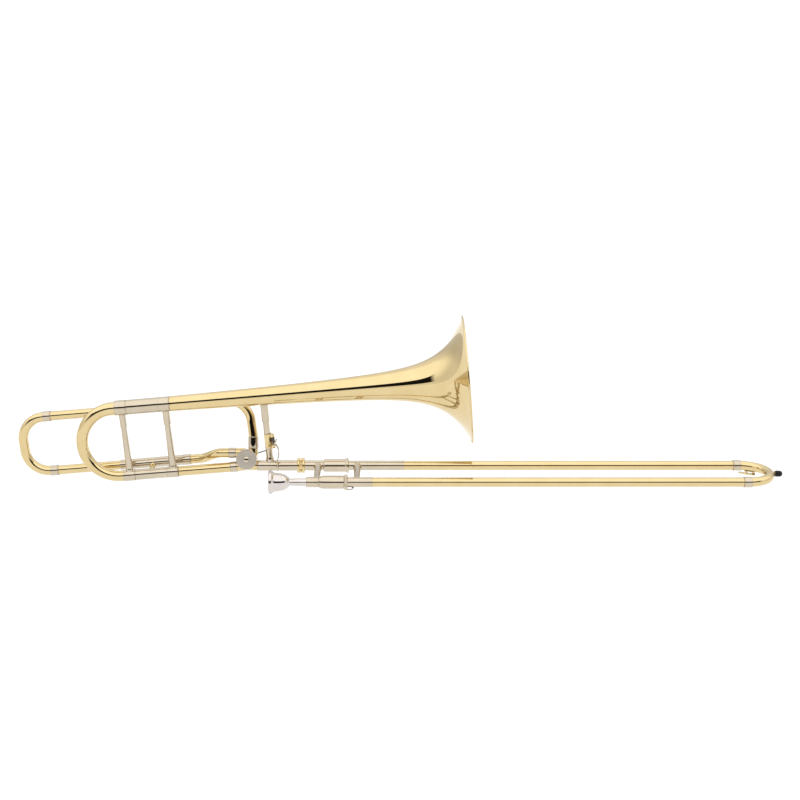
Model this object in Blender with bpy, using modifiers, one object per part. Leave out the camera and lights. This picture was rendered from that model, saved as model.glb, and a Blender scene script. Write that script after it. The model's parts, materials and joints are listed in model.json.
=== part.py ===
"""Large-bore tenor trombone with a rotary-valve F attachment, as separate pieces on their joint axes.

Frame: the origin is the centre of the lock nut, where the slide section and the bell section meet.
+X runs toward the slide bow, +Z toward the bell, and the mouthpiece tube lies on the -Y side.
All sizes below are millimetres; the helpers turn them into metres as each mesh is made.
"""
import math

import bmesh
import bpy
from mathutils import Matrix, Vector

MM = 0.001
GAP = 0.3  # clearance kept between neighbouring pieces
LONG = 60.0  # a cutter's reach past what it cuts

# Slide section: two parallel tubes along X
SLIDE_SPACING = 87.0
INNER_TUBE = (7.0, 6.5)  # outer and inner radius
OUTER_TUBE = (7.8, 7.3)
OUTER_SLEEVE = (8.3, 7.8 + GAP)
BARREL = (10.9, 9.2)
BARREL_FLANGE = 12.8
RECEIVER_RADIUS = 8.65
RECEIVER_END = 37.4
BARREL_SPAN = (37.7, 74.7)
LOWER_BARREL_START = 34.0
FLANGE_SPAN = (75.0, 80.6)
INNER_BRACE_X = 29.0
OUTER_BRACE_X = 95.5
BRACE_RADIUS = 5.5
UPPER_SLEEVE_END = 174.3
LOWER_SLEEVE_END = 121.4
SLEEVE_START = 60.0
OUTER_TUBE_END = 739.5
INNER_TUBE_END = 730.0
BOW_START = 741.5
BOW_FERRULE_SPAN = (733.0, 746.2)
BOW_FERRULE = (8.85, 8.35)
BUMPER_RADIUS = 5.2
BUMPER_TIP = 806.7
LOCK_LEAN = math.radians(16.0)  # the slide lock sits this far round from straight down

# Lock nut and neck pipe
LOCK_NUT_SPAN = (-6.4, 6.3)
LOCK_NUT_RADIUS = 12.8
NECK_RADIUS = 8.95
NECK_BORE = 7.0
NECK_SPAN = (-73.8, -0.5)

# Mouthpiece, on the axis of the mouthpiece tube
MOUTHPIECE_RIM_X = -49.2
MOUTHPIECE_END_X = 33.8
MOUTHPIECE_BORE = 3.5
SHANK_RADIUS = 6.4
MOUTHPIECE_RECEIVER_SPAN = (12.6, 33.7)

# Bell section: tilted against the slide, with its own local x along the bell
BELL_TILT = math.radians(4.9)
BELL_SECTION_ORIGIN = (-107.0, 0.0, -1.7)
LEG_SPACING = 119.6
BELL_RIM_X = 399.3
BELL_LENGTH = 500.0
BELL_WALL = 0.9
RIM_BEAD = 1.7
THROAT_RADIUS = 9.06
THROAT_TAPER = 0.0029
CONE_HEIGHT = 28.2
CONE_REACH = 235.0
CONE_POWER = 1.5
FLARE_HEIGHT = 70.7
FLARE_REACH = 35.0
CROOK_X = -197.2
CROOK_END = -186.0
RING_1_SPAN = (-194.0, -174.3)
SLEEVE_SPAN = (-174.0, -100.5)
RING_2_START = -119.5
UPPER_SLEEVE = (12.5, 11.6)
UPPER_RING = 12.7
LOWER_SLEEVE = (9.05, 8.25)
LOWER_RING = 9.5
UPPER_LEG = (11.3, 10.7)
LOWER_LEG = (7.95, 7.4)
LEG_END = -106.0
CROOK_LOWER = (8.9, 7.9)
CROOK_MIDDLE = 9.7
CROOK_UPPER = 10.8
LOWER_TUBE = (8.25, 7.0)
MAIN_FERRULE_SPAN = (-12.7, -1.2)
MAIN_TUBE_END = -6.7
MAIN_FERRULE = (9.0, 8.25 + GAP)
LEFT_BRACE_X = -183.5
RIGHT_BRACE_X = -109.8
SECTION_BRACE_RADIUS = 5.35
SECTION_BRACE_SOCKET = 6.2
SECTION_SOCKET_LENGTH = 22.0
BELL_BRACE_X = 55.4

# F attachment: a second loop behind the bell, in the bell section's tilt
F_PLANE_Y = 28.0
F_LOWER_Z = 10.7
F_UPPER_Z = 107.5
F_TUBE = (7.8, 7.3)
F_SLEEVE = (8.55, 8.1)
F_RING = 8.95
F_CROOK_RADIUS = 8.2
F_CROOK_REACH = 39.3
F_FERRULE_SPAN = (-323.0, -309.5)
F_FERRULE = (8.8, 8.2 + GAP)
F_LOWER_SLEEVE_SPAN = (-202.4, -81.4)
F_LOWER_RING_START = -94.6
F_LOWER_FLANGE = 4.0
F_UPPER_SLEEVE_SPAN = (-157.0, -22.4)
F_UPPER_RING_START = -36.3
F_LOWER_LEG_END = -96.0
F_UPPER_LEG_END = -45.0
RETURN_START = -81.1
F_STAY_LOWER_X = -147.0
F_STAY_UPPER_X = -60.0

# Rotary valve: its axis leans back, so the F loop clears the bell
ROTOR_LEAN = math.radians(17.0)
ROTOR_CENTRE = (-91.5, 2.95, 9.95)
CASING = (17.3, 14.9)
CASING_HALF = 13.0
PORT_OFFSET = 10.4
PORT_BORE = 7.0
NIPPLE_RADIUS = 7.9
NIPPLE_DEPTH = 2.0
RISER_NIPPLE_DEPTH = 7.0
ROTOR_RADIUS = 14.6
ROTOR_HALF = 12.7
CAP_RADIUS = 17.5
CAP_THICK = 3.2
SPINDLE_RADIUS = 3.5
RISER_X = 10.4
RISER_FERRULE_SPAN = (18.3, 38.6)
RETURN_FERRULE_X = (-122.6, -110.4)
VALVE_FERRULE = (8.8, 7.9 + GAP)
STOP_ARM_REACH = 9.0
STOP_ARM_ANGLE = math.radians(165.0)
STOP_ARM_Z = -18.4
LINK_Z = -23.6
LINK_FAR_X = -52.8  # the lever's end of the link rod, in X, at rest
LINK_TRAVEL = 12.6  # how far that end moves along X in a quarter turn of the rotor

# Thumb lever: pivots beside the bell brace, on an axis parallel to it
LEVER_OFFSET = (9.0, -6.0)
LEVER_HUB_Z = (34.7, 38.2)
LEVER_PIN_RADIUS = 1.2
LEVER_EAR_Z = ((29.5, 34.2), (49.0, 54.0))
LINK_BALL_RADIUS = 2.6

# Water key, under the start of the bow's far leg
WATER_KEY_TURN = math.radians(28.0)
KEY_HINGE = (-6.0, -13.2)
KEY_CORK_X = 6.5


def start_collections():
    """Empty the scene and make one collection for the parts and one for the cutters."""
    for old in list(bpy.data.objects):
        bpy.data.objects.remove(old, do_unlink=True)
    made = []
    for name in ("trombone", "cutters"):
        collection = bpy.data.collections.new(name)
        bpy.context.scene.collection.children.link(collection)
        made.append(collection)
    return made


PARTS, CUTTERS = start_collections()


def finish(name, colour, roughness, metallic):
    material = bpy.data.materials.new(name)
    material.use_nodes = True
    shader = material.node_tree.nodes["Principled BSDF"]
    shader.inputs["Base Color"].default_value = (*colour, 1.0)
    shader.inputs["Roughness"].default_value = roughness
    shader.inputs["Metallic"].default_value = metallic
    return material


FINISHES = {
    "brass": ((0.83, 0.60, 0.22), 0.16, 1.0),
    "nickel": ((0.72, 0.66, 0.60), 0.22, 1.0),
    "silver": ((0.86, 0.86, 0.87), 0.10, 1.0),
    "chrome": ((0.75, 0.76, 0.78), 0.12, 1.0),
    "rubber": ((0.02, 0.02, 0.02), 0.60, 0.0),
    "cork": ((0.48, 0.30, 0.15), 0.85, 0.0),
    "steel": ((0.30, 0.30, 0.31), 0.35, 1.0),
}


def metres(point):
    return tuple(value * MM for value in point)


def empty(name, at, parent=None, rotation=(0.0, 0.0, 0.0)):
    marker = bpy.data.objects.new(name, None)
    marker.empty_display_size = 0.03
    PARTS.objects.link(marker)
    marker.location = metres(at)
    marker.rotation_euler = rotation
    marker.parent = parent
    return marker


def add(name, data, metal, parent):
    """Link a mesh or curve as one named piece with a material of its own."""
    piece = bpy.data.objects.new(name, data)
    PARTS.objects.link(piece)
    piece.parent = parent
    data.materials.append(finish(name, *FINISHES[metal]))
    return piece


def aim(piece, at, along):
    """Put a piece whose length runs along its own Z at a point, running in a direction."""
    piece.location = metres(at)
    piece.rotation_euler = Vector(along).to_track_quat("Z", "Y").to_euler()
    return piece


def turned(name, outline, metal, parent, at=(0, 0, 0), along=(1, 0, 0), steps=16):
    """A turned piece from (distance along, radius) points: outer side from the far end back, then the bore."""
    mesh = bpy.data.meshes.new(name)
    points = [(radius * MM, 0.0, distance * MM) for distance, radius in outline]
    edges = [(i, i + 1) for i in range(len(points) - 1)]
    if outline[0][1] > 0:
        edges.append((len(points) - 1, 0))
    mesh.from_pydata(points, edges, [])
    piece = add(name, mesh, metal, parent)
    screw = piece.modifiers.new("turn", "SCREW")
    screw.steps = screw.render_steps = steps
    screw.use_merge_vertices = True
    screw.merge_threshold = 0.00002
    screw.use_smooth_shade = True
    return aim(piece, at, along)


def sleeve(span, radii, ring=None, ring_start=None):
    """Outline of a plain tube, or of one whose far end carries a thicker ring."""
    start, end = span
    outer, inner = radii
    if ring is None:
        return [(end, outer), (start, outer), (start, inner), (end, inner)]
    return [(end - 0.8, ring - 0.6), (end - 1.6, ring), (ring_start + 0.8, ring), (ring_start, outer),
            (start, outer), (start, inner), (end - 0.8, inner)]


def rod(start, end, radius):
    """Outline of a solid round bar."""
    return [(end, 0), (end, radius), (start, radius), (start, 0)]


def ball(centre, radius, points=7):
    """Outline of a ball, from its far end back."""
    arc = [math.pi * i / (points - 1) for i in range(points)]
    return [(centre + radius * math.cos(a), abs(radius * math.sin(a)) if 0 < i < points - 1 else 0)
            for i, a in enumerate(arc)]


def stay(length, socket, waist, socket_length):
    """Outline of a brace: a wide socket at the far end, a slim post and a flared foot."""
    return [(length, 0), (length, socket), (length - socket_length, socket),
            (length - socket_length - 0.8, waist), (9.0, waist), (4.0, socket + 0.2), (0, socket + 0.2), (0, 0)]


def path(name, points, radius, metal, parent, wall=None, scales=None, sides=2):
    """A bent tube or bar along a list of points; with a wall it is hollow and open at both ends."""
    curve = bpy.data.curves.new(name, "CURVE")
    curve.dimensions = "3D"
    curve.resolution_u = 1
    curve.bevel_depth = radius * MM
    curve.bevel_resolution = sides
    curve.use_fill_caps = wall is None
    spline = curve.splines.new("POLY")
    spline.points.add(len(points) - 1)
    for i, point in enumerate(points):
        spline.points[i].co = (*metres(point), 1.0)
        spline.points[i].radius = scales[i] if scales else 1.0
    piece = add(name, curve, metal, parent)
    if wall is not None:
        shell = piece.modifiers.new("wall", "SOLIDIFY")
        shell.thickness = wall * MM
        shell.offset = -1.0
    return piece


def plate(name, outline, thickness, metal, parent):
    """A flat outline in the local XY plane, with a thickness centred on it."""
    curve = bpy.data.curves.new(name, "CURVE")
    curve.dimensions = "2D"
    curve.fill_mode = "BOTH"
    curve.extrude = thickness * MM / 2
    spline = curve.splines.new("POLY")
    spline.points.add(len(outline) - 1)
    for i, (x, y) in enumerate(outline):
        spline.points[i].co = (x * MM, y * MM, 0.0, 1.0)
    spline.use_cyclic_u = True
    return add(name, curve, metal, parent)


def as_mesh(piece):
    """Turn a curve object into a mesh object with welded caps, so that a Boolean can use it."""
    bpy.context.view_layer.update()
    evaluated = piece.evaluated_get(bpy.context.evaluated_depsgraph_get())
    mesh = bpy.data.meshes.new_from_object(evaluated)
    welded = bmesh.new()
    welded.from_mesh(mesh)
    bmesh.ops.remove_doubles(welded, verts=welded.verts, dist=0.000002)
    bmesh.ops.recalc_face_normals(welded, faces=welded.faces)
    welded.to_mesh(mesh)
    welded.free()
    name, parent, matrix, metal = piece.name, piece.parent, piece.matrix_world.copy(), piece.data.materials[0]
    bpy.data.objects.remove(piece, do_unlink=True)
    solid = bpy.data.objects.new(name, mesh)
    if not mesh.materials:
        mesh.materials.append(metal)
    PARTS.objects.link(solid)
    solid.parent = parent
    solid.matrix_world = matrix
    return solid


def combine(piece, other, operation):
    """Boolean one piece with another, which becomes a hidden cutter or joined shape."""
    PARTS.objects.unlink(other)
    CUTTERS.objects.link(other)
    other.hide_render = True
    other.display_type = "WIRE"
    other.name = f"shape_{len(CUTTERS.objects)}"
    join = piece.modifiers.new(operation.lower(), "BOOLEAN")
    join.operation = operation
    join.object = other
    join.solver = "EXACT"
    return piece


def cut(piece, other):
    return combine(piece, other, "DIFFERENCE")


def unite(piece, *others):
    for other in others:
        combine(piece, other, "UNION")
    return piece


def cutter_tube(parent, at, along, radius, span=(-LONG, LONG), steps=32):
    """A long round cutter on the axis of a neighbouring tube."""
    return turned("cutter", rod(span[0], span[1], radius), "steel", parent, at, along, steps)


def ring_of_points(centre, radius, start, end, count):
    """Points of an arc in a plane, as (x, y) pairs, with angles in radians."""
    steps = [start + (end - start) * i / (count - 1) for i in range(count)]
    return [(centre[0] + radius * math.cos(a), centre[1] + radius * math.sin(a)) for a in steps]


def eased(start, end, count):
    """Points of an S-bend between two points whose ends both run along X."""
    points = []
    for i in range(count):
        s = i / (count - 1)
        blend = s * s * (3 - 2 * s)
        points.append((start[0] + (end[0] - start[0]) * s, start[1] + (end[1] - start[1]) * blend,
                       start[2] + (end[2] - start[2]) * blend))
    return points


def hermite(start, start_run, end, end_run, count):
    """Points of a smooth bend between two points with given end directions."""
    a, b = Vector(start), Vector(end)
    u, v = Vector(start_run), Vector(end_run)
    points = []
    for i in range(count):
        s = i / (count - 1)
        points.append(tuple(a * (2 * s**3 - 3 * s**2 + 1) + u * (s**3 - 2 * s**2 + s)
                            + b * (3 * s**2 - 2 * s**3) + v * (s**3 - s**2)))
    return points


def bell_radius(distance):
    """Outer radius of the bell at a distance behind its rim: a slow cone and a sudden flare."""
    cone = CONE_HEIGHT * (CONE_REACH / (distance + CONE_REACH)) ** CONE_POWER
    flare = FLARE_HEIGHT * math.exp(-distance / FLARE_REACH)
    return THROAT_RADIUS - THROAT_TAPER * distance + cone + flare


def make_bell(frame):
    rows = 13
    distances = [BELL_LENGTH * (i / (rows - 1)) ** 2.4 for i in range(rows)]
    outer = [(BELL_RIM_X - d, bell_radius(d)) for d in distances]
    inner = []
    for d, (x, radius) in zip(distances, outer):
        slope = math.atan(bell_radius(d) - bell_radius(d + 1.0))
        inner.append((x + BELL_WALL * math.sin(slope), radius - BELL_WALL * math.cos(slope)))
    rim = (BELL_RIM_X - RIM_BEAD, outer[0][1] - RIM_BEAD)
    bead = ring_of_points(rim, RIM_BEAD, 0.0, math.radians(200.0), 6)
    outline = bead + outer[2:] + [(outer[-1][0], outer[-1][1] - BELL_WALL)] + list(reversed(inner[1:-1]))
    turned("bell", outline, "brass", frame, (0, 0, LEG_SPACING), steps=32)


def make_tuning_sleeves(frame):
    upper = sleeve(SLEEVE_SPAN, UPPER_SLEEVE, UPPER_RING, RING_2_START)
    turned("tuning_upper_sleeve", upper, "nickel", frame, (0, 0, LEG_SPACING))
    lower = sleeve(SLEEVE_SPAN, LOWER_SLEEVE, LOWER_RING, RING_2_START)
    turned("tuning_lower_sleeve", lower, "nickel", frame)


def make_section_brace(name, x, frame):
    """A brace between the two legs, saddle-cut to both rings."""
    outline = stay(LEG_SPACING, SECTION_BRACE_SOCKET, SECTION_BRACE_RADIUS, SECTION_SOCKET_LENGTH + UPPER_RING)
    outline = [(distance if distance else LOWER_RING / 2, radius) for distance, radius in outline]
    outline = [(distance + LOWER_RING * 0.75 if 2 < distance < 10 and radius else distance, radius)
               for distance, radius in outline]
    brace = turned(name, outline, "nickel", frame, (x, 0, 0), (0, 0, 1), 16)
    cut(brace, cutter_tube(frame, (x, 0, LEG_SPACING), (1, 0, 0), UPPER_RING + GAP))
    cut(brace, cutter_tube(frame, (x, 0, 0), (1, 0, 0), LOWER_RING + GAP))


def make_lower_main(frame):
    turned("lower_main_tube", sleeve((SLEEVE_SPAN[1] + GAP, MAIN_TUBE_END), LOWER_TUBE), "brass", frame)
    turned("lower_main_ferrule", collar(MAIN_FERRULE_SPAN, MAIN_FERRULE), "nickel", frame)


def collar(span, radii, step=None):
    """Outline of a ferrule: a short sleeve with eased ends, and a wider far bore when given (start, radius)."""
    start, end = span
    outer, inner = radii
    ease = (outer - (step[1] if step else inner)) / 2
    bore = [(start, inner), (step[0], inner), (step[0], step[1]), (end, step[1])] if step else [
        (start, inner), (end, inner)]
    return [(end, outer - ease), (end - 1.0, outer), (start + 1.0, outer), (start, outer - ease)] + bore


def make_bell_brace(frame):
    """The post between the neck pipe and the bell, which carries the thumb lever."""
    foot = 4.0
    outline = stay(LEG_SPACING - foot, SECTION_BRACE_SOCKET + 0.1, SECTION_BRACE_RADIUS, 41.0)
    outline = [(d + 9.0 if 2 < d < 10 and r else d, r) for d, r in outline]
    brace = turned("bell_brace", outline, "nickel", frame, (BELL_BRACE_X, 0, foot), (0, 0, 1), 16)
    throat = bell_radius(BELL_RIM_X - BELL_BRACE_X) + GAP + 0.4
    cut(brace, cutter_tube(frame, (BELL_BRACE_X, 0, LEG_SPACING), (1, 0, 0), throat))
    neck = cutter_tube(None, (BELL_BRACE_X - 110.0, 0, 0), (1, 0, 0), NECK_RADIUS + GAP)
    cut(brace, neck)


def make_lever_mount(frame):
    """The saddle on the bell brace: a clip with two ears, and the hinge pin between them."""
    dx, dy = LEVER_OFFSET
    at = (BELL_BRACE_X, 0)
    low, high = LEVER_EAR_Z[0][0], LEVER_EAR_Z[1][1]
    shell = [(high, 7.4), (low, 7.4), (low, SECTION_BRACE_RADIUS + GAP), (high, SECTION_BRACE_RADIUS + GAP)]
    saddle = turned("lever_saddle", shell, "brass", frame, (*at, 0), (0, 0, 1), 20)
    back = turned("cutter", rod(low - 1, high + 1, 12.0), "steel", frame, (at[0] - 11.0, 5.0, 0), (0, 0, 1), 24)
    cut(saddle, back)
    ear_radius = 3.2
    root = (SECTION_BRACE_RADIUS + GAP + 0.2 + ear_radius) / math.hypot(dx, dy)
    for z_low, z_high in LEVER_EAR_Z:
        outline = capsule((root * dx, root * dy), (dx, dy), ear_radius)
        ear = as_mesh(plate("ear", outline, z_high - z_low, "brass", frame))
        ear.location = metres((*at, (z_low + z_high) / 2))
        unite(saddle, ear)
    pin = turned("pin", rod(low + 2, high - 2, LEVER_PIN_RADIUS), "steel", frame,
                 (at[0] + dx, dy, 0), (0, 0, 1), 12)
    unite(saddle, pin)
    spring = [(48.7, 3.3), (38.6, 3.3), (38.6, 1.9), (48.7, 1.9)]
    turned("lever_spring", spring, "steel", frame, (at[0] + dx, dy, 0), (0, 0, 1), 16)


def capsule(a, b, radius, other=None, count=7):
    """Outline round two circles, such as an ear or an arm; the second may have its own radius."""
    heading = math.atan2(b[1] - a[1], b[0] - a[0])
    other = radius if other is None else other
    half = math.pi / 2
    back = ring_of_points(a, radius, heading + half, heading + 3 * half, count)
    front = ring_of_points(b, other, heading - half, heading + half, count)
    return back + front


def in_section(point):
    """World place of a point given in the bell section's tilted frame."""
    turn = Matrix.Rotation(-BELL_TILT, 3, "Y")
    return turn @ Vector(point) + Vector(BELL_SECTION_ORIGIN)


def in_rotor(point):
    """World place of a point given in the rotor's frame."""
    turn = Matrix.Rotation(math.pi / 2 - ROTOR_LEAN, 3, "X")
    return turn @ Vector(point) + Vector(ROTOR_CENTRE)


def make_f_tubes(frame, valve):
    at_lower = (0, F_PLANE_Y, F_LOWER_Z)
    at_upper = (0, F_PLANE_Y, F_UPPER_Z)
    start, end = F_LOWER_SLEEVE_SPAN
    outline = sleeve(F_LOWER_SLEEVE_SPAN, F_SLEEVE, F_RING, F_LOWER_RING_START)
    outline[4:5] = [(start + F_LOWER_FLANGE, F_SLEEVE[0]), (start + F_LOWER_FLANGE, F_RING), (start, F_RING)]
    turned("f_lower_sleeve", outline, "nickel", frame, at_lower)
    turned("f_upper_sleeve", sleeve(F_UPPER_SLEEVE_SPAN, F_SLEEVE, F_RING, F_UPPER_RING_START), "nickel",
           frame, at_upper)
    along = Vector((math.cos(BELL_TILT), 0, math.sin(BELL_TILT)))
    riser_top = in_section((F_UPPER_SLEEVE_SPAN[1] + GAP, F_PLANE_Y, F_UPPER_Z))
    up = Vector((0, math.sin(ROTOR_LEAN), math.cos(ROTOR_LEAN)))
    base = in_rotor((RISER_X, RISER_FERRULE_SPAN[0] + 9.0, 0))
    lean_start = in_rotor((RISER_X, RISER_FERRULE_SPAN[1] + 1.5, 0))
    knee = in_rotor((RISER_X - 3.5, 64.0, 0))
    bend_end = riser_top + along * 17.0
    bend = hermite(knee, up * 56 - Vector((5, 0, 0)), bend_end, -along * 58, 9)
    points = [tuple(base), tuple(lean_start)] + bend + [tuple(riser_top)]
    path("f_riser_tube", points, F_TUBE[0], "brass", None, F_TUBE[0] - F_TUBE[1], sides=3)
    turned("f_riser_ferrule", collar(RISER_FERRULE_SPAN, VALVE_FERRULE), "nickel", valve,
           (RISER_X, 0, 0), (0, 1, 0))
    begin = in_section((RETURN_START, F_PLANE_Y, F_LOWER_Z))
    bend = begin + along * 14.0
    port = in_rotor((0, PORT_OFFSET + 0.6, 0))
    last = Vector((RETURN_FERRULE_X[0] + 6.0, port.y, port.z))
    settle = Vector((RETURN_FERRULE_X[0] - 12.0, port.y, port.z))
    points = [tuple(begin)] + eased(tuple(bend), tuple(settle), 9) + [tuple(last)]
    path("f_return_tube", points, F_TUBE[0], "brass", None, F_TUBE[0] - F_TUBE[1], sides=3)
    turned("f_return_ferrule", collar(RETURN_FERRULE_X, VALVE_FERRULE), "nickel", None,
           (0, port.y, port.z))


def make_stay(name, x, low, high, low_radius, high_radius, frame):
    """A short stay with flared ends between two tubes of the bell section, saddle-cut to both."""
    low, high = Vector((x, *low)), Vector((x, *high))
    span = (high - low).length
    direction = tuple((high - low).normalized())
    middle = (low_radius + span - high_radius) / 2
    outline = [(span - high_radius / 2, 0), (span - high_radius / 2, 5.2), (span - high_radius - 1.5, 5.2),
               (middle, 3.4), (low_radius + 1.5, 5.2), (low_radius / 2, 5.2), (low_radius / 2, 0)]
    piece = turned(name, outline, "brass", frame, tuple(low), direction, 14)
    cut(piece, cutter_tube(frame, tuple(low), (1, 0, 0), low_radius + GAP))
    cut(piece, cutter_tube(frame, tuple(high), (1, 0, 0), high_radius + GAP))


def make_tuning_slide(frame):
    """The crook that pulls out at the back of the bell section, with its ferrules, legs and brace."""
    count = 13
    radius = LEG_SPACING / 2
    points, scales = [(CROOK_END, 0, 0)], [1.0]
    for i in range(count):
        s = i / (count - 1)
        angle = -math.pi / 2 - math.pi * s
        points.append((CROOK_X + radius * math.cos(angle), 0, radius + radius * math.sin(angle)))
        half = CROOK_LOWER[0] + (CROOK_MIDDLE - CROOK_LOWER[0]) * 2 * s
        if s > 0.5:
            half = CROOK_MIDDLE + (CROOK_UPPER - CROOK_MIDDLE) * (2 * s - 1)
        scales.append(half / CROOK_LOWER[0])
    points.append((CROOK_END, 0, LEG_SPACING))
    scales.append(scales[-1])
    path("tuning_crook", points, CROOK_LOWER[0], "brass", frame, 1.0, scales, sides=4)
    leg_start = CROOK_END + GAP
    upper = collar(RING_1_SPAN, (UPPER_RING, CROOK_UPPER + GAP), (leg_start, UPPER_LEG[0] + GAP))
    turned("tuning_upper_ferrule", upper, "nickel", frame, (0, 0, LEG_SPACING))
    turned("tuning_lower_ferrule", collar(RING_1_SPAN, (LOWER_RING, CROOK_LOWER[0] + GAP)), "nickel", frame)
    turned("tuning_upper_leg", sleeve((leg_start, LEG_END), UPPER_LEG), "brass", frame, (0, 0, LEG_SPACING))
    turned("tuning_lower_leg", sleeve((leg_start, LEG_END), LOWER_LEG), "brass", frame)
    make_section_brace("tuning_brace", LEFT_BRACE_X, frame)


def make_f_slide(frame):
    """The F attachment's own tuning slide: two quarter bends with a short straight between them."""
    start = F_FERRULE_SPAN[0]
    spacing = F_UPPER_Z - F_LOWER_Z
    bend = F_CROOK_REACH
    lower = ring_of_points((start, bend), bend, -math.pi / 2, -math.pi, 7)
    upper = ring_of_points((start, spacing - bend), bend, math.pi, math.pi / 2, 7)
    flat = [(start + 7.0, 0.0)] + lower + upper + [(start + 7.0, spacing)]
    points = [(x, F_PLANE_Y, F_LOWER_Z + z) for x, z in flat]
    path("f_crook", points, F_CROOK_RADIUS, "brass", frame, 0.9, sides=3)
    for name, z, end in (("lower", F_LOWER_Z, F_LOWER_LEG_END), ("upper", F_UPPER_Z, F_UPPER_LEG_END)):
        at = (0, F_PLANE_Y, z)
        turned(f"f_{name}_ferrule", collar(F_FERRULE_SPAN, F_FERRULE), "nickel", frame, at)
        turned(f"f_{name}_leg", sleeve((start + 7.3, end), F_TUBE), "brass", frame, at)


def make_valve(valve):
    """The fixed parts of the rotary valve."""
    solid = rod(-CASING_HALF, CASING_HALF, CASING[0])
    casing = turned("rotor_casing", solid, "brass", valve, (0, 0, 0), (0, 0, 1), 32)
    main = valve_point(in_section((MAIN_TUBE_END + GAP, 0, 0)))
    main_run = valve_direction((math.cos(BELL_TILT), 0, math.sin(BELL_TILT)))
    neck = NECK_SPAN[0] - GAP - ROTOR_CENTRE[0]
    back = RETURN_FERRULE_X[0] + 6.3 - ROTOR_CENTRE[0]
    riser = RISER_FERRULE_SPAN[0] + 7.7
    nipples = [
        ((neck, -PORT_OFFSET, 0), (-1, 0, 0), neck - NIPPLE_DEPTH),
        ((back, PORT_OFFSET + 0.6, 0), (1, 0, 0), -NIPPLE_DEPTH - back),
        ((RISER_X, riser, 0), (0, -1, 0), riser - RISER_NIPPLE_DEPTH),
        (tuple(main), tuple(main_run), 20.0),
    ]
    for at, along, length in nipples:
        unite(casing, turned("nipple", rod(0, length, NIPPLE_RADIUS), "brass", valve, at, along, 16))
    for at, along, length in nipples:
        cut(casing, turned("bore", rod(-4.0, length - 2.0, PORT_BORE), "brass", valve, at, along, 16))
    cut(casing, turned("well", rod(-CASING_HALF - 2, CASING_HALF + 2, CASING[1]), "brass", valve,
                       (0, 0, 0), (0, 0, 1), 32))
    face = CASING_HALF + GAP
    dome = [(face + CAP_THICK + 2.0, 0), (face + CAP_THICK + 1.8, 3.0), (face + CAP_THICK + 0.6, 6.4),
            (face + CAP_THICK, 6.8), (face + CAP_THICK, CAP_RADIUS - 0.8), (face + CAP_THICK - 0.8, CAP_RADIUS),
            (face, CAP_RADIUS), (face, 0)]
    turned("rotor_front_cap", dome, "nickel", valve, (0, 0, 0), (0, 0, 1), 32)
    hole = SPINDLE_RADIUS + GAP
    back_plate = [(-face, CASING[0]), (-face - CAP_THICK, CASING[0]), (-face - CAP_THICK, hole), (-face, hole)]
    turned("rotor_back_plate", back_plate, "nickel", valve, (0, 0, 0), (0, 0, 1), 32)
    make_stop_plate(valve, -face - CAP_THICK - GAP)


def valve_point(world):
    turn = Matrix.Rotation(math.pi / 2 - ROTOR_LEAN, 3, "X")
    return turn.inverted() @ (Vector(world) - Vector(ROTOR_CENTRE))


def valve_direction(world):
    turn = Matrix.Rotation(math.pi / 2 - ROTOR_LEAN, 3, "X")
    return turn.inverted() @ Vector(world)


def make_stop_plate(valve, top):
    """A curved strip on the back plate whose two posts stop the arm at each end of its turn."""
    inner = ring_of_points((0, 0), 11.0, math.radians(-165), math.radians(45), 15)
    outer = ring_of_points((0, 0), 15.5, math.radians(45), math.radians(-165), 15)
    stop_plate = as_mesh(plate("stop_plate", inner + outer, 0.9, "brass", valve))
    stop_plate.location = metres((0, 0, top - 0.45))
    for angle in (-164.0, 44.0):
        at = (13.2 * math.cos(math.radians(angle)), 13.2 * math.sin(math.radians(angle)), 0)
        post = turned("post", rod(top - 5.0, top - 0.3, 2.3), "brass", valve, at, (0, 0, 1), 12)
        unite(stop_plate, post)


def make_rotor(valve):
    """The turning core with its two scooped channels, and the arm on its spindle."""
    body = [(ROTOR_HALF, 0), (ROTOR_HALF, ROTOR_RADIUS), (-ROTOR_HALF, ROTOR_RADIUS),
            (-ROTOR_HALF, SPINDLE_RADIUS), (-CASING_HALF - CAP_THICK - 0.2, SPINDLE_RADIUS),
            (-CASING_HALF - CAP_THICK - 0.2, 0)]
    core = turned("rotor_core", body, "brass", valve, (0, 0, 0), (0, 0, 1), 32)
    for side in (-1, 1):
        scoop = turned("scoop", rod(-30, 30, PORT_BORE), "brass", valve, (0, side * (PORT_OFFSET + 0.6), 0),
                       (1, 0, 0), 18)
        cut(core, scoop)
    tip = (STOP_ARM_REACH * math.cos(STOP_ARM_ANGLE), STOP_ARM_REACH * math.sin(STOP_ARM_ANGLE))
    arm = plate("stop_arm", capsule((0, 0), tip, 5.2, 3.0), 2.4, "brass", valve)
    arm.location = metres((0, 0, STOP_ARM_Z))
    return tip


def link_length_rule(tip, lever_x, travel):
    """Height of the lever's link ball for which the rod is equally long at both ends of the turn."""
    turned_tip = (tip[1], -tip[0])
    near = (lever_x - tip[0]) ** 2 + tip[1] ** 2
    far = (lever_x + travel - turned_tip[0]) ** 2 + turned_tip[1] ** 2
    return (far - near) / (2 * (turned_tip[1] - tip[1]))


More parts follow.
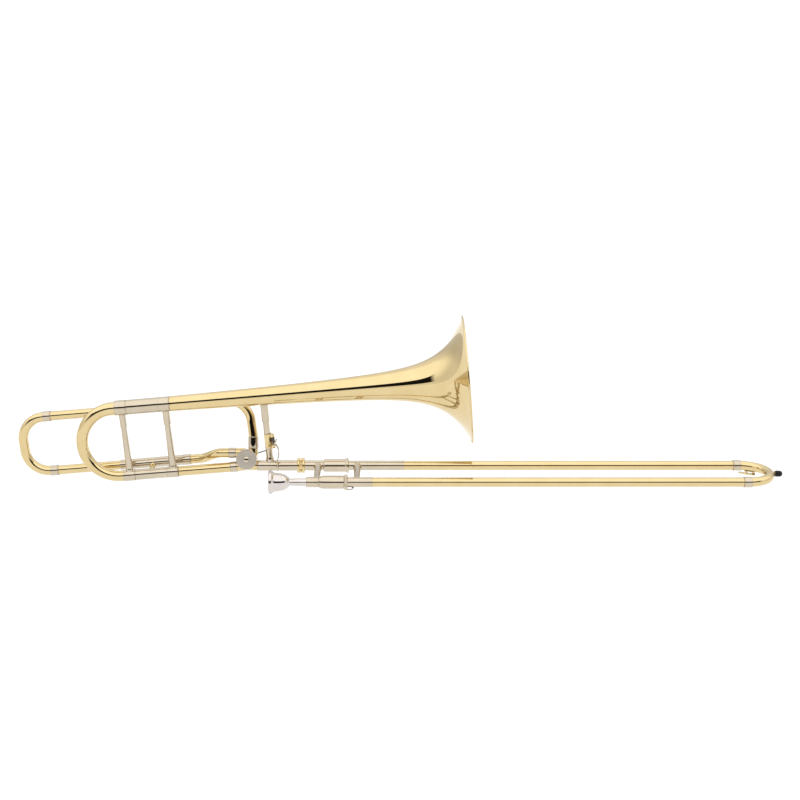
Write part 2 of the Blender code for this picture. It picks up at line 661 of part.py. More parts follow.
def make_link(valve, tip):
    """The rod from the rotor's arm to the thumb lever, a ball at each end."""
    lever_x = LINK_FAR_X - ROTOR_CENTRE[0]
    lever_y = link_length_rule(tip, lever_x, LINK_TRAVEL)
    run = Vector((lever_x - tip[0], lever_y - tip[1], 0))
    length = run.length
    near = ball(0, LINK_BALL_RADIUS)
    far = ball(length, LINK_BALL_RADIUS)
    neck = 1.3
    outline = far[:5] + [(length - 2.3, neck), (2.3, neck)] + near[2:]
    piece = turned("link_rod", outline, "steel", valve, (tip[0], tip[1], LINK_Z), tuple(run.normalized()), 12)
    return piece, (lever_x, lever_y)


def ribbon(name, side_view, width, thickness, metal, parent):
    """A bent flat strip: its edge-on line in the local XY plane, thickened to both sides."""
    left, right = [], []
    for i, (x, y) in enumerate(side_view):
        before = Vector(side_view[max(i - 1, 0)])
        after = Vector(side_view[min(i + 1, len(side_view) - 1)])
        run = (after - before).normalized()
        left.append((x - run.y * thickness / 2, y + run.x * thickness / 2))
        right.append((x + run.y * thickness / 2, y - run.x * thickness / 2))
    return plate(name, left + right[::-1], width, metal, parent)


def make_thumb_lever(pivot, link_point):
    """Hub, thumb strip, round finger plate and the arm that reaches back to the link rod."""
    low, high = LEVER_HUB_Z
    hub = [(high, 3.3), (low, 3.3), (low, LEVER_PIN_RADIUS + GAP), (high, LEVER_PIN_RADIUS + GAP)]
    lever = turned("thumb_lever", hub, "nickel", pivot, (0, 0, 0), (0, 0, 1), 20)
    strip_y = -9.0
    side_view = [(-1.4, 37.0), (2.0, 38.6), (5.0, 37.6), (7.8, 33.0), (8.7, 27.0), (7.8, 19.0),
                 (5.2, 11.0), (4.0, 0.0), (3.4, -9.0)]
    strip = as_mesh(ribbon("strip", side_view, 7.0, 1.6, "nickel", pivot))
    strip.rotation_euler = (math.pi / 2, 0, 0)
    strip.location = metres((0, strip_y, 0))
    bridge = as_mesh(plate("bridge", capsule((-0.6, -3.0), (1.2, strip_y + 1.0), 1.7), 2.4, "nickel", pivot))
    bridge.location = metres((0, 0, 37.0))
    finger = turned("finger", [(1.0, 0), (1.0, 5.4), (-1.0, 5.4), (-1.0, 0)], "nickel", pivot,
                    (4.6, strip_y, 43.0), (0.85, 0, -0.52), 20)
    target = Vector(link_point)
    points = hermite((0.6, 2.6, 36.4), (8, 14, -2), tuple(target), (-6, 16, -8), 7)
    arm = as_mesh(path("arm", points, 1.5, "nickel", pivot))
    return unite(lever, bridge, strip, finger, arm)


def make_neck_and_nut(slide):
    turned("neckpipe", sleeve(NECK_SPAN, (NECK_RADIUS, NECK_BORE)), "nickel", None)
    start, end = LOCK_NUT_SPAN
    rim = LOCK_NUT_RADIUS
    nut = [(end, rim - 1.0), (end - 1.0, rim), (end - 3.2, rim), (end - 3.8, rim - 0.6), (start + 3.8, rim - 0.6),
           (start + 3.2, rim), (start + 1.0, rim), (start, rim - 1.0), (start, NECK_RADIUS + GAP),
           (end, NECK_RADIUS + GAP)]
    turned("lock_nut", nut, "brass", slide, steps=20)


def make_inner_slide(slide):
    """The fixed half of the hand slide: receivers, cork barrels, brace and the two inner tubes."""
    low = (0, -SLIDE_SPACING, 0)
    turned("slide_receiver", sleeve((-0.2, RECEIVER_END), (RECEIVER_RADIUS, INNER_TUBE[0] + GAP)), "nickel", slide)
    start, end = BARREL_SPAN
    collar_end = start + 5.0
    barrel = [(end, BARREL[0]), (start + 3.0, BARREL[0]), (start, BARREL[0] - 1.6), (start, INNER_TUBE[0] + GAP),
              (collar_end, INNER_TUBE[0] + GAP), (collar_end, BARREL[1]), (end, BARREL[1])]
    rim = [(FLANGE_SPAN[1], BARREL_FLANGE - 1.2), (FLANGE_SPAN[1] - 1.2, BARREL_FLANGE),
           (FLANGE_SPAN[0] + 1.0, BARREL_FLANGE), (FLANGE_SPAN[0], BARREL[0])]
    upper = rim + barrel[1:-1] + [(FLANGE_SPAN[1], BARREL[1])]
    turned("upper_cork_barrel", upper, "nickel", slide, steps=18)
    lower_start = LOWER_BARREL_START - start
    lower = [(d + lower_start if d == start else d, radius) for d, radius in barrel]
    turned("lower_cork_barrel", lower, "nickel", slide, low, steps=18)
    for name, begin, at in (("upper", 4.0, (0, 0, 0)), ("lower", 36.0, low)):
        turned(f"{name}_inner_tube", sleeve((begin, INNER_TUBE_END), INNER_TUBE), "chrome", slide, at)
    turned("mouthpiece_receiver", collar(MOUTHPIECE_RECEIVER_SPAN, (8.5, SHANK_RADIUS + 0.4)), "nickel", slide, low)
    brace = make_slide_brace("inner_brace", INNER_BRACE_X, RECEIVER_RADIUS, 8.5, slide)
    cut(brace, cutter_tube(slide, low, (1, 0, 0), BARREL[0], (LOWER_BARREL_START - GAP, LONG)))


def make_slide_brace(name, x, upper_radius, lower_radius, parent):
    """A tube-like brace across the slide with a flared saddle at each end."""
    span = SLIDE_SPACING
    flare = BRACE_RADIUS + 1.6
    outline = [(span - lower_radius / 2, 0), (span - lower_radius / 2, flare), (span - lower_radius - 2.5, flare),
               (span - lower_radius - 6.0, BRACE_RADIUS), (upper_radius + 6.0, BRACE_RADIUS),
               (upper_radius + 2.5, flare), (upper_radius / 2, flare), (upper_radius / 2, 0)]
    brace = turned(name, outline, "nickel", parent, (x, 0, 0), (0, -1, 0), 18)
    cut(brace, cutter_tube(parent, (x, 0, 0), (1, 0, 0), upper_radius + GAP))
    return cut(brace, cutter_tube(parent, (x, -span, 0), (1, 0, 0), lower_radius + GAP))


def make_lock_ring(frame):
    """The turning ring at the end of the lower barrel, with the tongue that reaches over the stud."""
    start, end = FLANGE_SPAN
    ring = [(end, BARREL_FLANGE - 1.0), (end - 1.2, BARREL_FLANGE), (start + 1.0, BARREL_FLANGE),
            (start, BARREL_FLANGE - 1.0), (start, BARREL[1]), (end, BARREL[1])]
    lock = turned("slide_lock_ring", ring, "nickel", frame, steps=18)
    tongue = as_mesh(plate("tongue", [(-3.2, -4.0), (8.0, -4.0), (8.0, 4.0), (-3.2, 4.0)], 1.6, "nickel", frame))
    turn = -LOCK_LEAN
    tongue.rotation_euler = (turn, 0, 0)
    reach = BARREL_FLANGE - 0.9
    tongue.location = metres((end, math.sin(turn) * reach, -math.cos(turn) * reach))
    unite(lock, tongue)


def make_mouthpiece(frame):
    """Rim, cup, throat bead and tapered shank, bored right through."""
    rim = MOUTHPIECE_RIM_X
    outer = [(rim + 1.4, 19.3), (rim + 3.6, 19.8), (rim + 6.5, 19.0), (rim + 9.5, 17.2), (rim + 14.0, 15.4),
             (rim + 20.0, 14.7), (rim + 27.0, 13.4), (rim + 32.0, 9.6), (rim + 36.0, 6.6), (rim + 41.0, 5.8),
             (rim + 44.0, 6.3), (rim + 47.5, 6.3), (rim + 50.0, SHANK_RADIUS + 0.1),
             (MOUTHPIECE_END_X, SHANK_RADIUS - 0.3)]
    inner = [(MOUTHPIECE_END_X, SHANK_RADIUS - 1.3), (rim + 34.0, MOUTHPIECE_BORE), (rim + 26.0, 6.0),
             (rim + 18.0, 10.4), (rim + 8.0, 12.6), (rim + 2.0, 13.2), (rim, 15.0), (rim, 17.2)]
    outline = list(reversed(outer)) + list(reversed(inner))
    turned("mouthpiece", outline, "silver", frame, steps=20)


def make_outer_slide(slide):
    """The half that travels: outer tubes and sleeves, hand brace, bow, bumper and slide-lock stud."""
    low = (0, -SLIDE_SPACING, 0)
    for name, end, at in (("upper", UPPER_SLEEVE_END, (0, 0, 0)), ("lower", LOWER_SLEEVE_END, low)):
        outline = [(end - 2.0, OUTER_SLEEVE[0]), (SLEEVE_START, OUTER_SLEEVE[0]), (SLEEVE_START, OUTER_SLEEVE[1]),
                   (end, OUTER_SLEEVE[1])]
        piece = turned(f"{name}_outer_sleeve", outline, "nickel", slide, at, steps=18)
        if name == "lower":
            stud = turned("stud", rod(7.9, 10.6, 1.8), "brass", slide, (89.4, -SLIDE_SPACING, 0),
                          (0, -math.sin(LOCK_LEAN), -math.cos(LOCK_LEAN)), 12)
            cutoff = turned("stud_bore", rod(SLEEVE_START - 5, end + 5, OUTER_SLEEVE[1]), "brass", slide, at)
            unite(piece, stud)
            cut(piece, cutoff)
        turned(f"{name}_outer_tube", sleeve((SLEEVE_START + 0.4, OUTER_TUBE_END), OUTER_TUBE), "brass", slide, at)
        turned(f"{name}_bow_ferrule", collar(BOW_FERRULE_SPAN, BOW_FERRULE), "nickel", slide, at)
    make_slide_brace("outer_brace", OUTER_BRACE_X, OUTER_SLEEVE[0], OUTER_SLEEVE[0], slide)
    radius = SLIDE_SPACING / 2
    arc = ring_of_points((BOW_START, -radius), radius, math.pi / 2, -math.pi / 2, 15)
    flat = [(OUTER_TUBE_END + GAP, 0)] + arc + [(OUTER_TUBE_END + GAP, -SLIDE_SPACING)]
    path("slide_bow", [(x, y, 0) for x, y in flat], OUTER_TUBE[0], "brass", slide, 0.7, sides=3)
    apex = BOW_START + radius + OUTER_TUBE[0]
    seat = [(apex + 1.6, 0), (apex + 1.6, 4.2), (apex + 0.4, 5.0), (apex + GAP, 0)]
    turned("bumper_socket", seat, "brass", slide, (0, -radius, 0), steps=18)
    start = apex + 1.6 + GAP
    bullet = [(BUMPER_TIP, 0), (BUMPER_TIP, 2.4), (BUMPER_TIP - 1.4, 4.2), (BUMPER_TIP - 4.5, BUMPER_RADIUS),
              (start + 2.0, BUMPER_RADIUS), (start, BUMPER_RADIUS - 0.6), (start, 0)]
    turned("rubber_bumper", bullet, "rubber", slide, (0, -radius, 0), steps=18)


def make_water_key(slide):
    """Nipple saddle under the bow and the sprung key that closes it with a cork."""
    radius = SLIDE_SPACING / 2
    at = (BOW_START + radius * math.sin(WATER_KEY_TURN), radius * math.cos(WATER_KEY_TURN) - radius, 0)
    key_frame = empty("water_key_frame", at, slide, (0, 0, -WATER_KEY_TURN))
    top = -OUTER_TUBE[0] - GAP
    hinge_x, hinge_z = KEY_HINGE
    base = as_mesh(plate("water_key_saddle", capsule((hinge_x, 0), (KEY_CORK_X, -0.4), 3.6, 3.0), 1.2, "brass",
                         key_frame))
    base.location = metres((0, 0, top - 0.7))
    for side in (-1, 1):
        post = turned("post", rod(hinge_z - 1.6, top - 0.6, 1.1), "brass", key_frame, (hinge_x, 4.6 * side, 0),
                      (0, 0, 1), 10)
        arm = turned("arm", rod(2.6, 5.0, 1.1), "brass", key_frame, (hinge_x, 0, top - 0.9), (0, side, 0), 8)
        unite(base, post, arm)
    nipple = turned("nipple", rod(top - 2.6, top - 0.6, 2.4), "brass", key_frame, (KEY_CORK_X, -0.4, 0),
                    (0, 0, 1), 14)
    unite(base, nipple)
    cork = rod(top - 4.4, top - 2.6 - GAP, 2.6)
    pivot = empty("water_key_pivot", (hinge_x, 0, hinge_z), key_frame)
    turned("water_key_cork", [(d - hinge_z, r) for d, r in cork], "cork", pivot, (KEY_CORK_X - hinge_x, -0.4, 0),
           (0, 0, 1), 14)
    bar_z = top - 4.4 - GAP - 0.8 - hinge_z
    bar = as_mesh(plate("water_key", capsule((-11.0, 0), (KEY_CORK_X - hinge_x, -0.4), 2.9, 3.1), 1.6, "brass",
                        pivot))
    bar.location = metres((0, 0, bar_z))


def main():
    section = empty("bell_section_frame", BELL_SECTION_ORIGIN, None, (0, -BELL_TILT, 0))
    valve = empty("rotor_axis", ROTOR_CENTRE, None, (math.pi / 2 - ROTOR_LEAN, 0, 0))
    make_bell(section)
    make_tuning_sleeves(section)
    make_section_brace("bell_section_brace", RIGHT_BRACE_X, section)
    make_lower_main(section)
    make_bell_brace(section)
    make_lever_mount(section)
    make_f_tubes(section, valve)
    make_stay("f_stay_lower", F_STAY_LOWER_X, (0, 0), (F_PLANE_Y, F_LOWER_Z), LOWER_SLEEVE[0], F_SLEEVE[0], section)
    throat = bell_radius(BELL_RIM_X - F_STAY_UPPER_X)
    make_stay("f_stay_upper", F_STAY_UPPER_X, (0, LEG_SPACING), (F_PLANE_Y, F_UPPER_Z), throat + 0.3, F_SLEEVE[0],
              section)
    make_valve(valve)
    make_tuning_slide(empty("tuning_slide_axis", (0, 0, 0), section))
    make_f_slide(empty("f_tuning_slide_axis", (0, 0, 0), section))
    tip = make_rotor(valve)
    rod_piece, lever_ball = make_link(valve, tip)
    dx, dy = LEVER_OFFSET
    pivot = empty("lever_axis", (BELL_BRACE_X + dx, dy, 0), section)
    bpy.context.view_layer.update()
    front_of_ball = in_rotor((*lever_ball, LINK_Z + LINK_BALL_RADIUS + 2.4))
    section_turn = Matrix.Rotation(BELL_TILT, 3, "Y")
    local = section_turn @ (front_of_ball - Vector(BELL_SECTION_ORIGIN)) - Vector((BELL_BRACE_X + dx, dy, 0))
    make_thumb_lever(pivot, tuple(local))
    slide = empty("slide_axis", (0, 0, 0))
    make_neck_and_nut(slide)
    make_inner_slide(slide)
    low_axis = empty("mouthpiece_axis", (0, -SLIDE_SPACING, 0), slide)
    make_lock_ring(low_axis)
    make_mouthpiece(low_axis)
    carriage = empty("outer_slide_axis", (0, 0, 0), slide)
    make_outer_slide(carriage)
    make_water_key(carriage)


main()
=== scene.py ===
"""The finished look of the trombone: fine surfaces for every visible piece, metals, light and camera.

Lengths are millimetres in three local frames (slide, bell section, valve), turned into metres as each mesh
is made. Where a piece sits, and how long and thick it is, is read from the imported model.
"""

import json
import math

import bmesh
import bpy
from mathutils import Matrix, Vector


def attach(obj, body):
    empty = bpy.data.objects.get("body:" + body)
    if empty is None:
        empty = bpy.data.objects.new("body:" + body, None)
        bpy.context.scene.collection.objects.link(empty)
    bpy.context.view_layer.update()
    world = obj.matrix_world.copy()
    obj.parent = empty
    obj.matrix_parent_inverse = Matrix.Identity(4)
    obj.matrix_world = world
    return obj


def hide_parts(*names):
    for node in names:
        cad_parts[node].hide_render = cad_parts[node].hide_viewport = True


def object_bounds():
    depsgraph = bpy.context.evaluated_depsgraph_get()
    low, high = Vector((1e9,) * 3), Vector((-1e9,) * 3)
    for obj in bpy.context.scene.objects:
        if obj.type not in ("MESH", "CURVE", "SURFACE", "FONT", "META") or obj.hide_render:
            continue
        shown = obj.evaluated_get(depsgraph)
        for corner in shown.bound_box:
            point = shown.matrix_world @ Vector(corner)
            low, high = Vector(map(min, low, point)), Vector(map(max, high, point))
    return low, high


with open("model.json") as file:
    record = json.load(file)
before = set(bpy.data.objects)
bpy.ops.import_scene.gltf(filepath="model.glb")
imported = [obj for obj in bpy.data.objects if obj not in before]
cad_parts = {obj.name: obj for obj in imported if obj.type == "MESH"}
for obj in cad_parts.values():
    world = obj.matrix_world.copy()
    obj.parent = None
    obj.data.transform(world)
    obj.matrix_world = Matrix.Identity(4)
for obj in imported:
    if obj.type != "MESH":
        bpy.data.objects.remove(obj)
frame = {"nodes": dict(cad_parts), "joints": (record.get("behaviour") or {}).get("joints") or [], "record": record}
CAD_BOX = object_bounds()
NODES = frame["nodes"]
JOINTS = {joint["name"]: joint for joint in frame["joints"]}
BODY_OF = {node: body for body, names in frame["record"]["behaviour"]["bodies"].items() for node in names}
SLOT_OF = {entry["node"]: entry["material_slot"] for entry in frame["record"]["subparts"]}

MM = 0.001
X, Y, Z = Vector((1, 0, 0)), Vector((0, 1, 0)), Vector((0, 0, 1))
ORIGIN = Vector((0, 0, 0))
ROUND = 96  # steps round a small turned piece
FINE_ROUND = 192  # steps round the bell
KNURL_ROUND = 384  # steps round a piece with a knurled or milled edge
SLIVER = 2e-6  # metres: points nearer than this are one point
EDGE = 0.3  # how far a turned corner is eased
NEARLY_STRAIGHT = 165  # degrees: a corner as open as this is left alone
SIDE_SHARE = 0.45  # the most of a side that one eased corner takes
JOINT_GAP = 0.3  # between two pieces that meet end to end
SEAT_GAP = 0.05  # how much wider than its tube a saddle is cut
THROAT_GAP = 0.3  # the same for a saddle on the bell's throat, which tapers

# Bell profile, as in the CAD model: a slow cone and a sudden flare
THROAT_RADIUS = 9.06
THROAT_TAPER = 0.0029
CONE_HEIGHT = 28.2
CONE_REACH = 235.0
CONE_POWER = 1.5
FLARE_HEIGHT = 70.7
FLARE_REACH = 35.0
BELL_WALL = 0.9
RIM_BEAD = 1.7

# Sizes that more than one piece shares, as in the CAD model
LOWER_SLEEVE_RADIUS = 9.05
F_SLEEVE_RADIUS = 8.55
F_BRANCH_RADIUS = 7.8
F_BRANCH_BORE = 7.3
NECK_PORT_DROP = 10.4  # from the valve's axis down to the neck pipe's
BRACE_OFFSET = (-9.0, 6.0)  # the bell brace's axis, seen from the lever's
STUD_X = 89.4  # where the slide lock's stud stands along the slide

# Fine lines turned into ferrules and into the rings of sleeves
LINE_HALF_WIDTH = 0.38
LINE_DEPTH = 0.4
LINE_INSET = 1.0  # from the end of the sleeve

# Studio. A brightness is given at each height, which is the sine of the direction's elevation
FULL = 2.0  # the brightest it could be
ROOM_GLOW = ((0.0, 0.92), (0.2, 0.9), (0.31, 1.05), (0.41, 1.25), (0.6, 1.4), (1.0, 1.45))
FRONT_GLOW = ((0.0, 0.92), (0.12, 0.98), (0.14, 0.01), (0.48, 0.01), (0.5, 1.4), (0.7, 1.45), (1.0, 1.45))
GAP_REACH = 0.8  # how far to each side the dark gap in the front light runs
GAP_FADE = 12.0  # how steeply it ends there
BACK_GLOW = 0.75  # the share of the light that is left behind the instrument
BACK_START = 0.5  # how far back the light is half-way down to that, 1 being straight back
BACK_FADE = 4.0  # how steeply it drops there
FLOOR_SIZE = 60.0  # metres, as is the next
FLOOR_DROP = 0.55  # from the instrument's lowest point down to the floor
FLOOR_TONE = 0.93

CAMERA_PLACE = (0.1401, -2.5279, 0.8439)
CAMERA_TURN = (16.073, 0.191, 0.614)  # degrees down, rolled and turned to the right
CAMERA_LENS = 70.63


# ---------------------------------------------------------------- frames and measures

def basis(origin, x_axis, z_hint):
    """A frame with its X along x_axis and its Z as near z_hint as it can be; origin in millimetres."""
    x = Vector(x_axis).normalized()
    y = Vector(z_hint).cross(x).normalized()
    z = x.cross(y)
    turn = Matrix((x, y, z)).transposed().to_4x4()
    return Matrix.Translation(Vector(origin)) @ turn


def joint_axis(name):
    return Vector(JOINTS[name]["axis"])


def joint_point(name):
    return Vector(JOINTS[name]["pos_m"]) / MM


SLIDE = Matrix.Identity(4)
SECTION = basis(ORIGIN, -joint_axis("tuning_slide_pull"), Z)
SECTION_X = -joint_axis("tuning_slide_pull")
# The valve's axis is this frame's X, and its front cap faces +X
VALVE = basis(joint_point("rotor_turn"), -joint_axis("rotor_turn"), Z)
VALVE_UP = VALVE.to_3x3() @ Z
# The stop plate and the link lie flat in this frame's XY plane
STOP_SPACE = basis(joint_point("rotor_turn"), X, -joint_axis("rotor_turn"))
# The lever's hinge is this frame's Z, and the other one's X
LEVER_UP = -joint_axis("lever_turn")
LEVER = basis(joint_point("lever_turn"), SECTION_X, LEVER_UP)
LEVER_HINGE = basis(joint_point("lever_turn"), LEVER_UP, X)


class Extent:
    """How far a CAD node reaches in a frame: start and end along X, centre and radius across it."""

    def __init__(self, node, space=SLIDE):
        inverse = space.inverted()
        points = [inverse @ (vertex.co / MM) for vertex in NODES[node].data.vertices]
        self.low = Vector([min(point[i] for point in points) for i in range(3)])
        self.high = Vector([max(point[i] for point in points) for i in range(3)])
        self.start, self.end = self.low.x, self.high.x
        self.length = self.end - self.start
        self.centre = (self.low + self.high) / 2
        self.radius = (self.high.z - self.low.z) / 2
        self.at = Vector((0, self.centre.y, self.centre.z))


def bell_radius(distance):
    """Outer radius of the bell at a distance behind its rim."""
    cone = CONE_HEIGHT * (CONE_REACH / (distance + CONE_REACH)) ** CONE_POWER
    flare = FLARE_HEIGHT * math.exp(-distance / FLARE_REACH)
    return THROAT_RADIUS - THROAT_TAPER * distance + cone + flare


LOWER_LEG = Extent("tuning_lower_leg", SECTION).at
UPPER_LEG = Extent("tuning_upper_leg", SECTION).at


# ---------------------------------------------------------------- materials

def value_node(tree, kind, **inputs):
    node = tree.nodes.new(kind)
    for name, value in inputs.items():
        node.inputs[name].default_value = value
    return node


def metal(name, pale, deep, roughness, coat=0.0, grain=(40.0, 40.0, 40.0), bump=0.02):
    """A polished metal whose tone, polish and surface wander slightly, as hand-buffed metal does."""
    material = bpy.data.materials.new(name)
    material.use_nodes = True
    tree = material.node_tree
    shader = tree.nodes["Principled BSDF"]
    shader.inputs["Metallic"].default_value = 1.0
    shader.inputs["Coat Weight"].default_value = coat
    shader.inputs["Coat Roughness"].default_value = 0.03
    place = tree.nodes.new("ShaderNodeTexCoord")
    stretch = value_node(tree, "ShaderNodeMapping", Scale=grain)
    tree.links.new(place.outputs["Object"], stretch.inputs["Vector"])
    cloud = value_node(tree, "ShaderNodeTexNoise", Scale=1.0, Detail=3.0, Roughness=0.5)
    tree.links.new(stretch.outputs["Vector"], cloud.inputs["Vector"])
    tone = tree.nodes.new("ShaderNodeValToRGB")
    tone.color_ramp.elements[0].position = 0.3
    tone.color_ramp.elements[0].color = (*deep, 1.0)
    tone.color_ramp.elements[1].position = 0.7
    tone.color_ramp.elements[1].color = (*pale, 1.0)
    tree.links.new(cloud.outputs["Fac"], tone.inputs["Fac"])
    tree.links.new(tone.outputs["Color"], shader.inputs["Base Color"])
    fine = value_node(tree, "ShaderNodeTexNoise", Scale=700.0, Detail=2.0, Roughness=0.6)
    tree.links.new(place.outputs["Object"], fine.inputs["Vector"])
    wander = {"To Min": roughness * 0.7, "To Max": roughness * 1.3}
    polish = value_node(tree, "ShaderNodeMapRange", **wander)
    tree.links.new(fine.outputs["Fac"], polish.inputs["Value"])
    tree.links.new(polish.outputs["Result"], shader.inputs["Roughness"])
    relief = value_node(tree, "ShaderNodeBump", Strength=bump, Distance=0.0001)
    tree.links.new(fine.outputs["Fac"], relief.inputs["Height"])
    tree.links.new(relief.outputs["Normal"], shader.inputs["Normal"])
    return material


def speckled(name, pale, deep, scale, roughness, bump, specular=0.5):
    """Rubber or cork: two tones in grains, with the grain also in the relief."""
    material = bpy.data.materials.new(name)
    material.use_nodes = True
    tree = material.node_tree
    shader = tree.nodes["Principled BSDF"]
    shader.inputs["Roughness"].default_value = roughness
    shader.inputs["Specular IOR Level"].default_value = specular
    place = tree.nodes.new("ShaderNodeTexCoord")
    grains = value_node(tree, "ShaderNodeTexVoronoi", Scale=scale)
    tree.links.new(place.outputs["Object"], grains.inputs["Vector"])
    tone = tree.nodes.new("ShaderNodeValToRGB")
    tone.color_ramp.elements[0].color = (*deep, 1.0)
    tone.color_ramp.elements[1].color = (*pale, 1.0)
    tree.links.new(grains.outputs["Distance"], tone.inputs["Fac"])
    tree.links.new(tone.outputs["Color"], shader.inputs["Base Color"])
    relief = value_node(tree, "ShaderNodeBump", Strength=bump, Distance=0.0002)
    tree.links.new(grains.outputs["Distance"], relief.inputs["Height"])
    tree.links.new(relief.outputs["Normal"], shader.inputs["Normal"])
    return material


MATERIALS = {
    "brass_lacquer": metal("brass_lacquer", (0.73, 0.58, 0.31), (0.69, 0.54, 0.275), 0.05, coat=0.2),
    "nickel_silver": metal("nickel_silver", (0.62, 0.54, 0.42), (0.57, 0.49, 0.37), 0.08),
    "silver_plate": metal("silver_plate", (0.68, 0.63, 0.60), (0.64, 0.59, 0.56), 0.05),
    "chrome_tube": metal("chrome_tube", (0.66, 0.67, 0.69), (0.60, 0.61, 0.63), 0.06),
    "dark_steel": metal("dark_steel", (0.20, 0.18, 0.16), (0.12, 0.11, 0.10), 0.25, bump=0.1),
    "black_rubber": speckled("black_rubber", (0.014, 0.014, 0.015), (0.007, 0.007, 0.008), 900.0,
                             roughness=0.5, bump=0.08, specular=0.2),
    "natural_cork": speckled("natural_cork", (0.50, 0.31, 0.16), (0.26, 0.14, 0.06), 900.0,
                             roughness=0.85, bump=0.5, specular=0.3),
}


# ---------------------------------------------------------------- mesh makers

def show(piece, node, *more):
    """Let a new piece stand for a CAD node: same body, same finish, and the node is hidden."""
    slot = SLOT_OF[node]
    piece.data.materials.clear()
    piece.data.materials.append(MATERIALS[slot])
    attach(piece, BODY_OF[node])
    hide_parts(node, *more)
    return piece


def without_slivers(shape):
    """Take out points that lie on one another and the faces without area between them."""
    bmesh.ops.remove_doubles(shape, verts=shape.verts, dist=SLIVER)
    bmesh.ops.dissolve_degenerate(shape, edges=shape.edges, dist=SLIVER)


def finished(name, shape, sharp=35.0):
    """Turn a bmesh into an object with outward faces, smooth except at real edges."""
    without_slivers(shape)
    bmesh.ops.recalc_face_normals(shape, faces=shape.faces)
    mesh = bpy.data.meshes.new(name)
    shape.to_mesh(mesh)
    shape.free()
    mesh.shade_smooth()
    mesh.set_sharp_from_angle(angle=math.radians(sharp))
    piece = bpy.data.objects.new(name, mesh)
    bpy.context.scene.collection.objects.link(piece)
    return piece


def eased_corners(outline, radius=EDGE, steps=3, closed=True):
    """The same outline with each corner replaced by a short curve; points on the axis stay sharp."""
    points = [Vector(p) for p in outline]
    count = len(points)
    result = []
    for i, corner in enumerate(points):
        if corner.y == 0 or (not closed and i in (0, count - 1)):
            result.append(tuple(corner))
            continue
        before, after = points[i - 1] - corner, points[(i + 1) % count] - corner
        no_corner = before.length < 1e-6 or after.length < 1e-6
        if no_corner or before.angle(after) > math.radians(NEARLY_STRAIGHT):
            result.append(tuple(corner))
            continue
        reach = min(radius, before.length * SIDE_SHARE, after.length * SIDE_SHARE)
        first, last = corner + before.normalized() * reach, corner + after.normalized() * reach
        for k in range(steps + 1):
            t = k / steps
            result.append(tuple(first * (1 - t) ** 2 + corner * 2 * t * (1 - t) + last * t * t))
    return result


def rod(low, high, radius):
    """Outline of a solid rod between two distances along X."""
    return [(high, 0), (high, radius), (low, radius), (low, 0)]


def pipe(low, high, radius, bore):
    """Outline of an open pipe between two distances along X."""
    return [(high, radius), (low, radius), (low, bore), (high, bore)]


def lathe(name, outline, space=SLIDE, at=ORIGIN, ease=EDGE, steps=ROUND, wave=None):
    """Spin an outline of (distance along X, radius); wave(angle, distance, radius) adds to the radius."""
    closed = outline[0][1] > 0
    points = eased_corners(outline, ease, closed=closed) if ease else outline
    shape = bmesh.new()
    rings = []
    for along, radius in points:
        ring = []
        for k in range(steps if radius > 0 else 1):
            angle = 2 * math.pi * k / steps
            reach = radius + (wave(angle, along, radius) if wave else 0.0)
            local = Vector(at) + Vector((along, reach * math.cos(angle), reach * math.sin(angle)))
            ring.append(shape.verts.new((space @ local) * MM))
        rings.append(ring)
    pairs = list(zip(rings, rings[1:])) + ([(rings[-1], rings[0])] if closed else [])
    for a, b in pairs:
        bridge(shape, a, b)
    return finished(name, shape)


def bridge(shape, a, b):
    """Faces between two rings of points, either of which may be a single point."""
    count = max(len(a), len(b))
    if count == 1:
        return
    for k in range(count):
        corners = [a[k % len(a)], a[(k + 1) % len(a)], b[(k + 1) % len(b)], b[k % len(b)]]
        unique = [v for i, v in enumerate(corners) if v not in corners[:i]]
        shape.faces.new(unique)


def sweep(name, points, radii, bore=None, space=SLIDE, steps=48):
    """A round tube along points, with a radius at each; a bore makes it hollow and open at both ends."""
    places = [space @ Vector(p) for p in points]
    runs = []
    for i in range(len(places)):
        run = places[min(i + 1, len(places) - 1)] - places[max(i - 1, 0)]
        runs.append(run.normalized())
    across = runs[0].orthogonal().normalized()
    shape = bmesh.new()
    outer, inner = [], []
    for i, (place, run, radius) in enumerate(zip(places, runs, radii)):
        across = (across - run * across.dot(run)).normalized()
        up = run.cross(across)
        for rings, reach in ((outer, radius), (inner, bore[i] if bore else None)):
            if reach is None:
                continue
            angles = [2 * math.pi * k / steps for k in range(steps)]
            rings.append([shape.verts.new((place + (across * math.cos(a) + up * math.sin(a)) * reach) * MM)
                          for a in angles])
    for rings in (outer, inner):
        for a, b in zip(rings, rings[1:]):
            bridge(shape, a, b)
    if bore:
        bridge(shape, outer[0], inner[0])
        bridge(shape, outer[-1], inner[-1])
    else:
        shape.faces.new(outer[0])
        shape.faces.new(outer[-1])
    return finished(name, shape)


def prism(name, outline, thickness, space, ease=0.25):
    """A flat outline in a frame's XY plane, thick about that plane, with its edges eased."""
    shape = bmesh.new()
    low = [shape.verts.new((x, y, -thickness / 2)) for x, y in outline]
    high = [shape.verts.new((x, y, thickness / 2)) for x, y in outline]
    shape.faces.new(low[::-1])
    shape.faces.new(high)
    for k in range(len(outline)):
        following = (k + 1) % len(outline)
        shape.faces.new((low[k], low[following], high[following], high[k]))
    rims = [edge for edge in shape.edges if (edge.verts[0] in low) == (edge.verts[1] in low)]
    bmesh.ops.bevel(shape, geom=rims, offset=ease, segments=2, affect="EDGES", profile=0.6)
    bmesh.ops.transform(shape, matrix=Matrix.Scale(MM, 4) @ space, verts=shape.verts)
    return finished(name, shape, sharp=50.0)


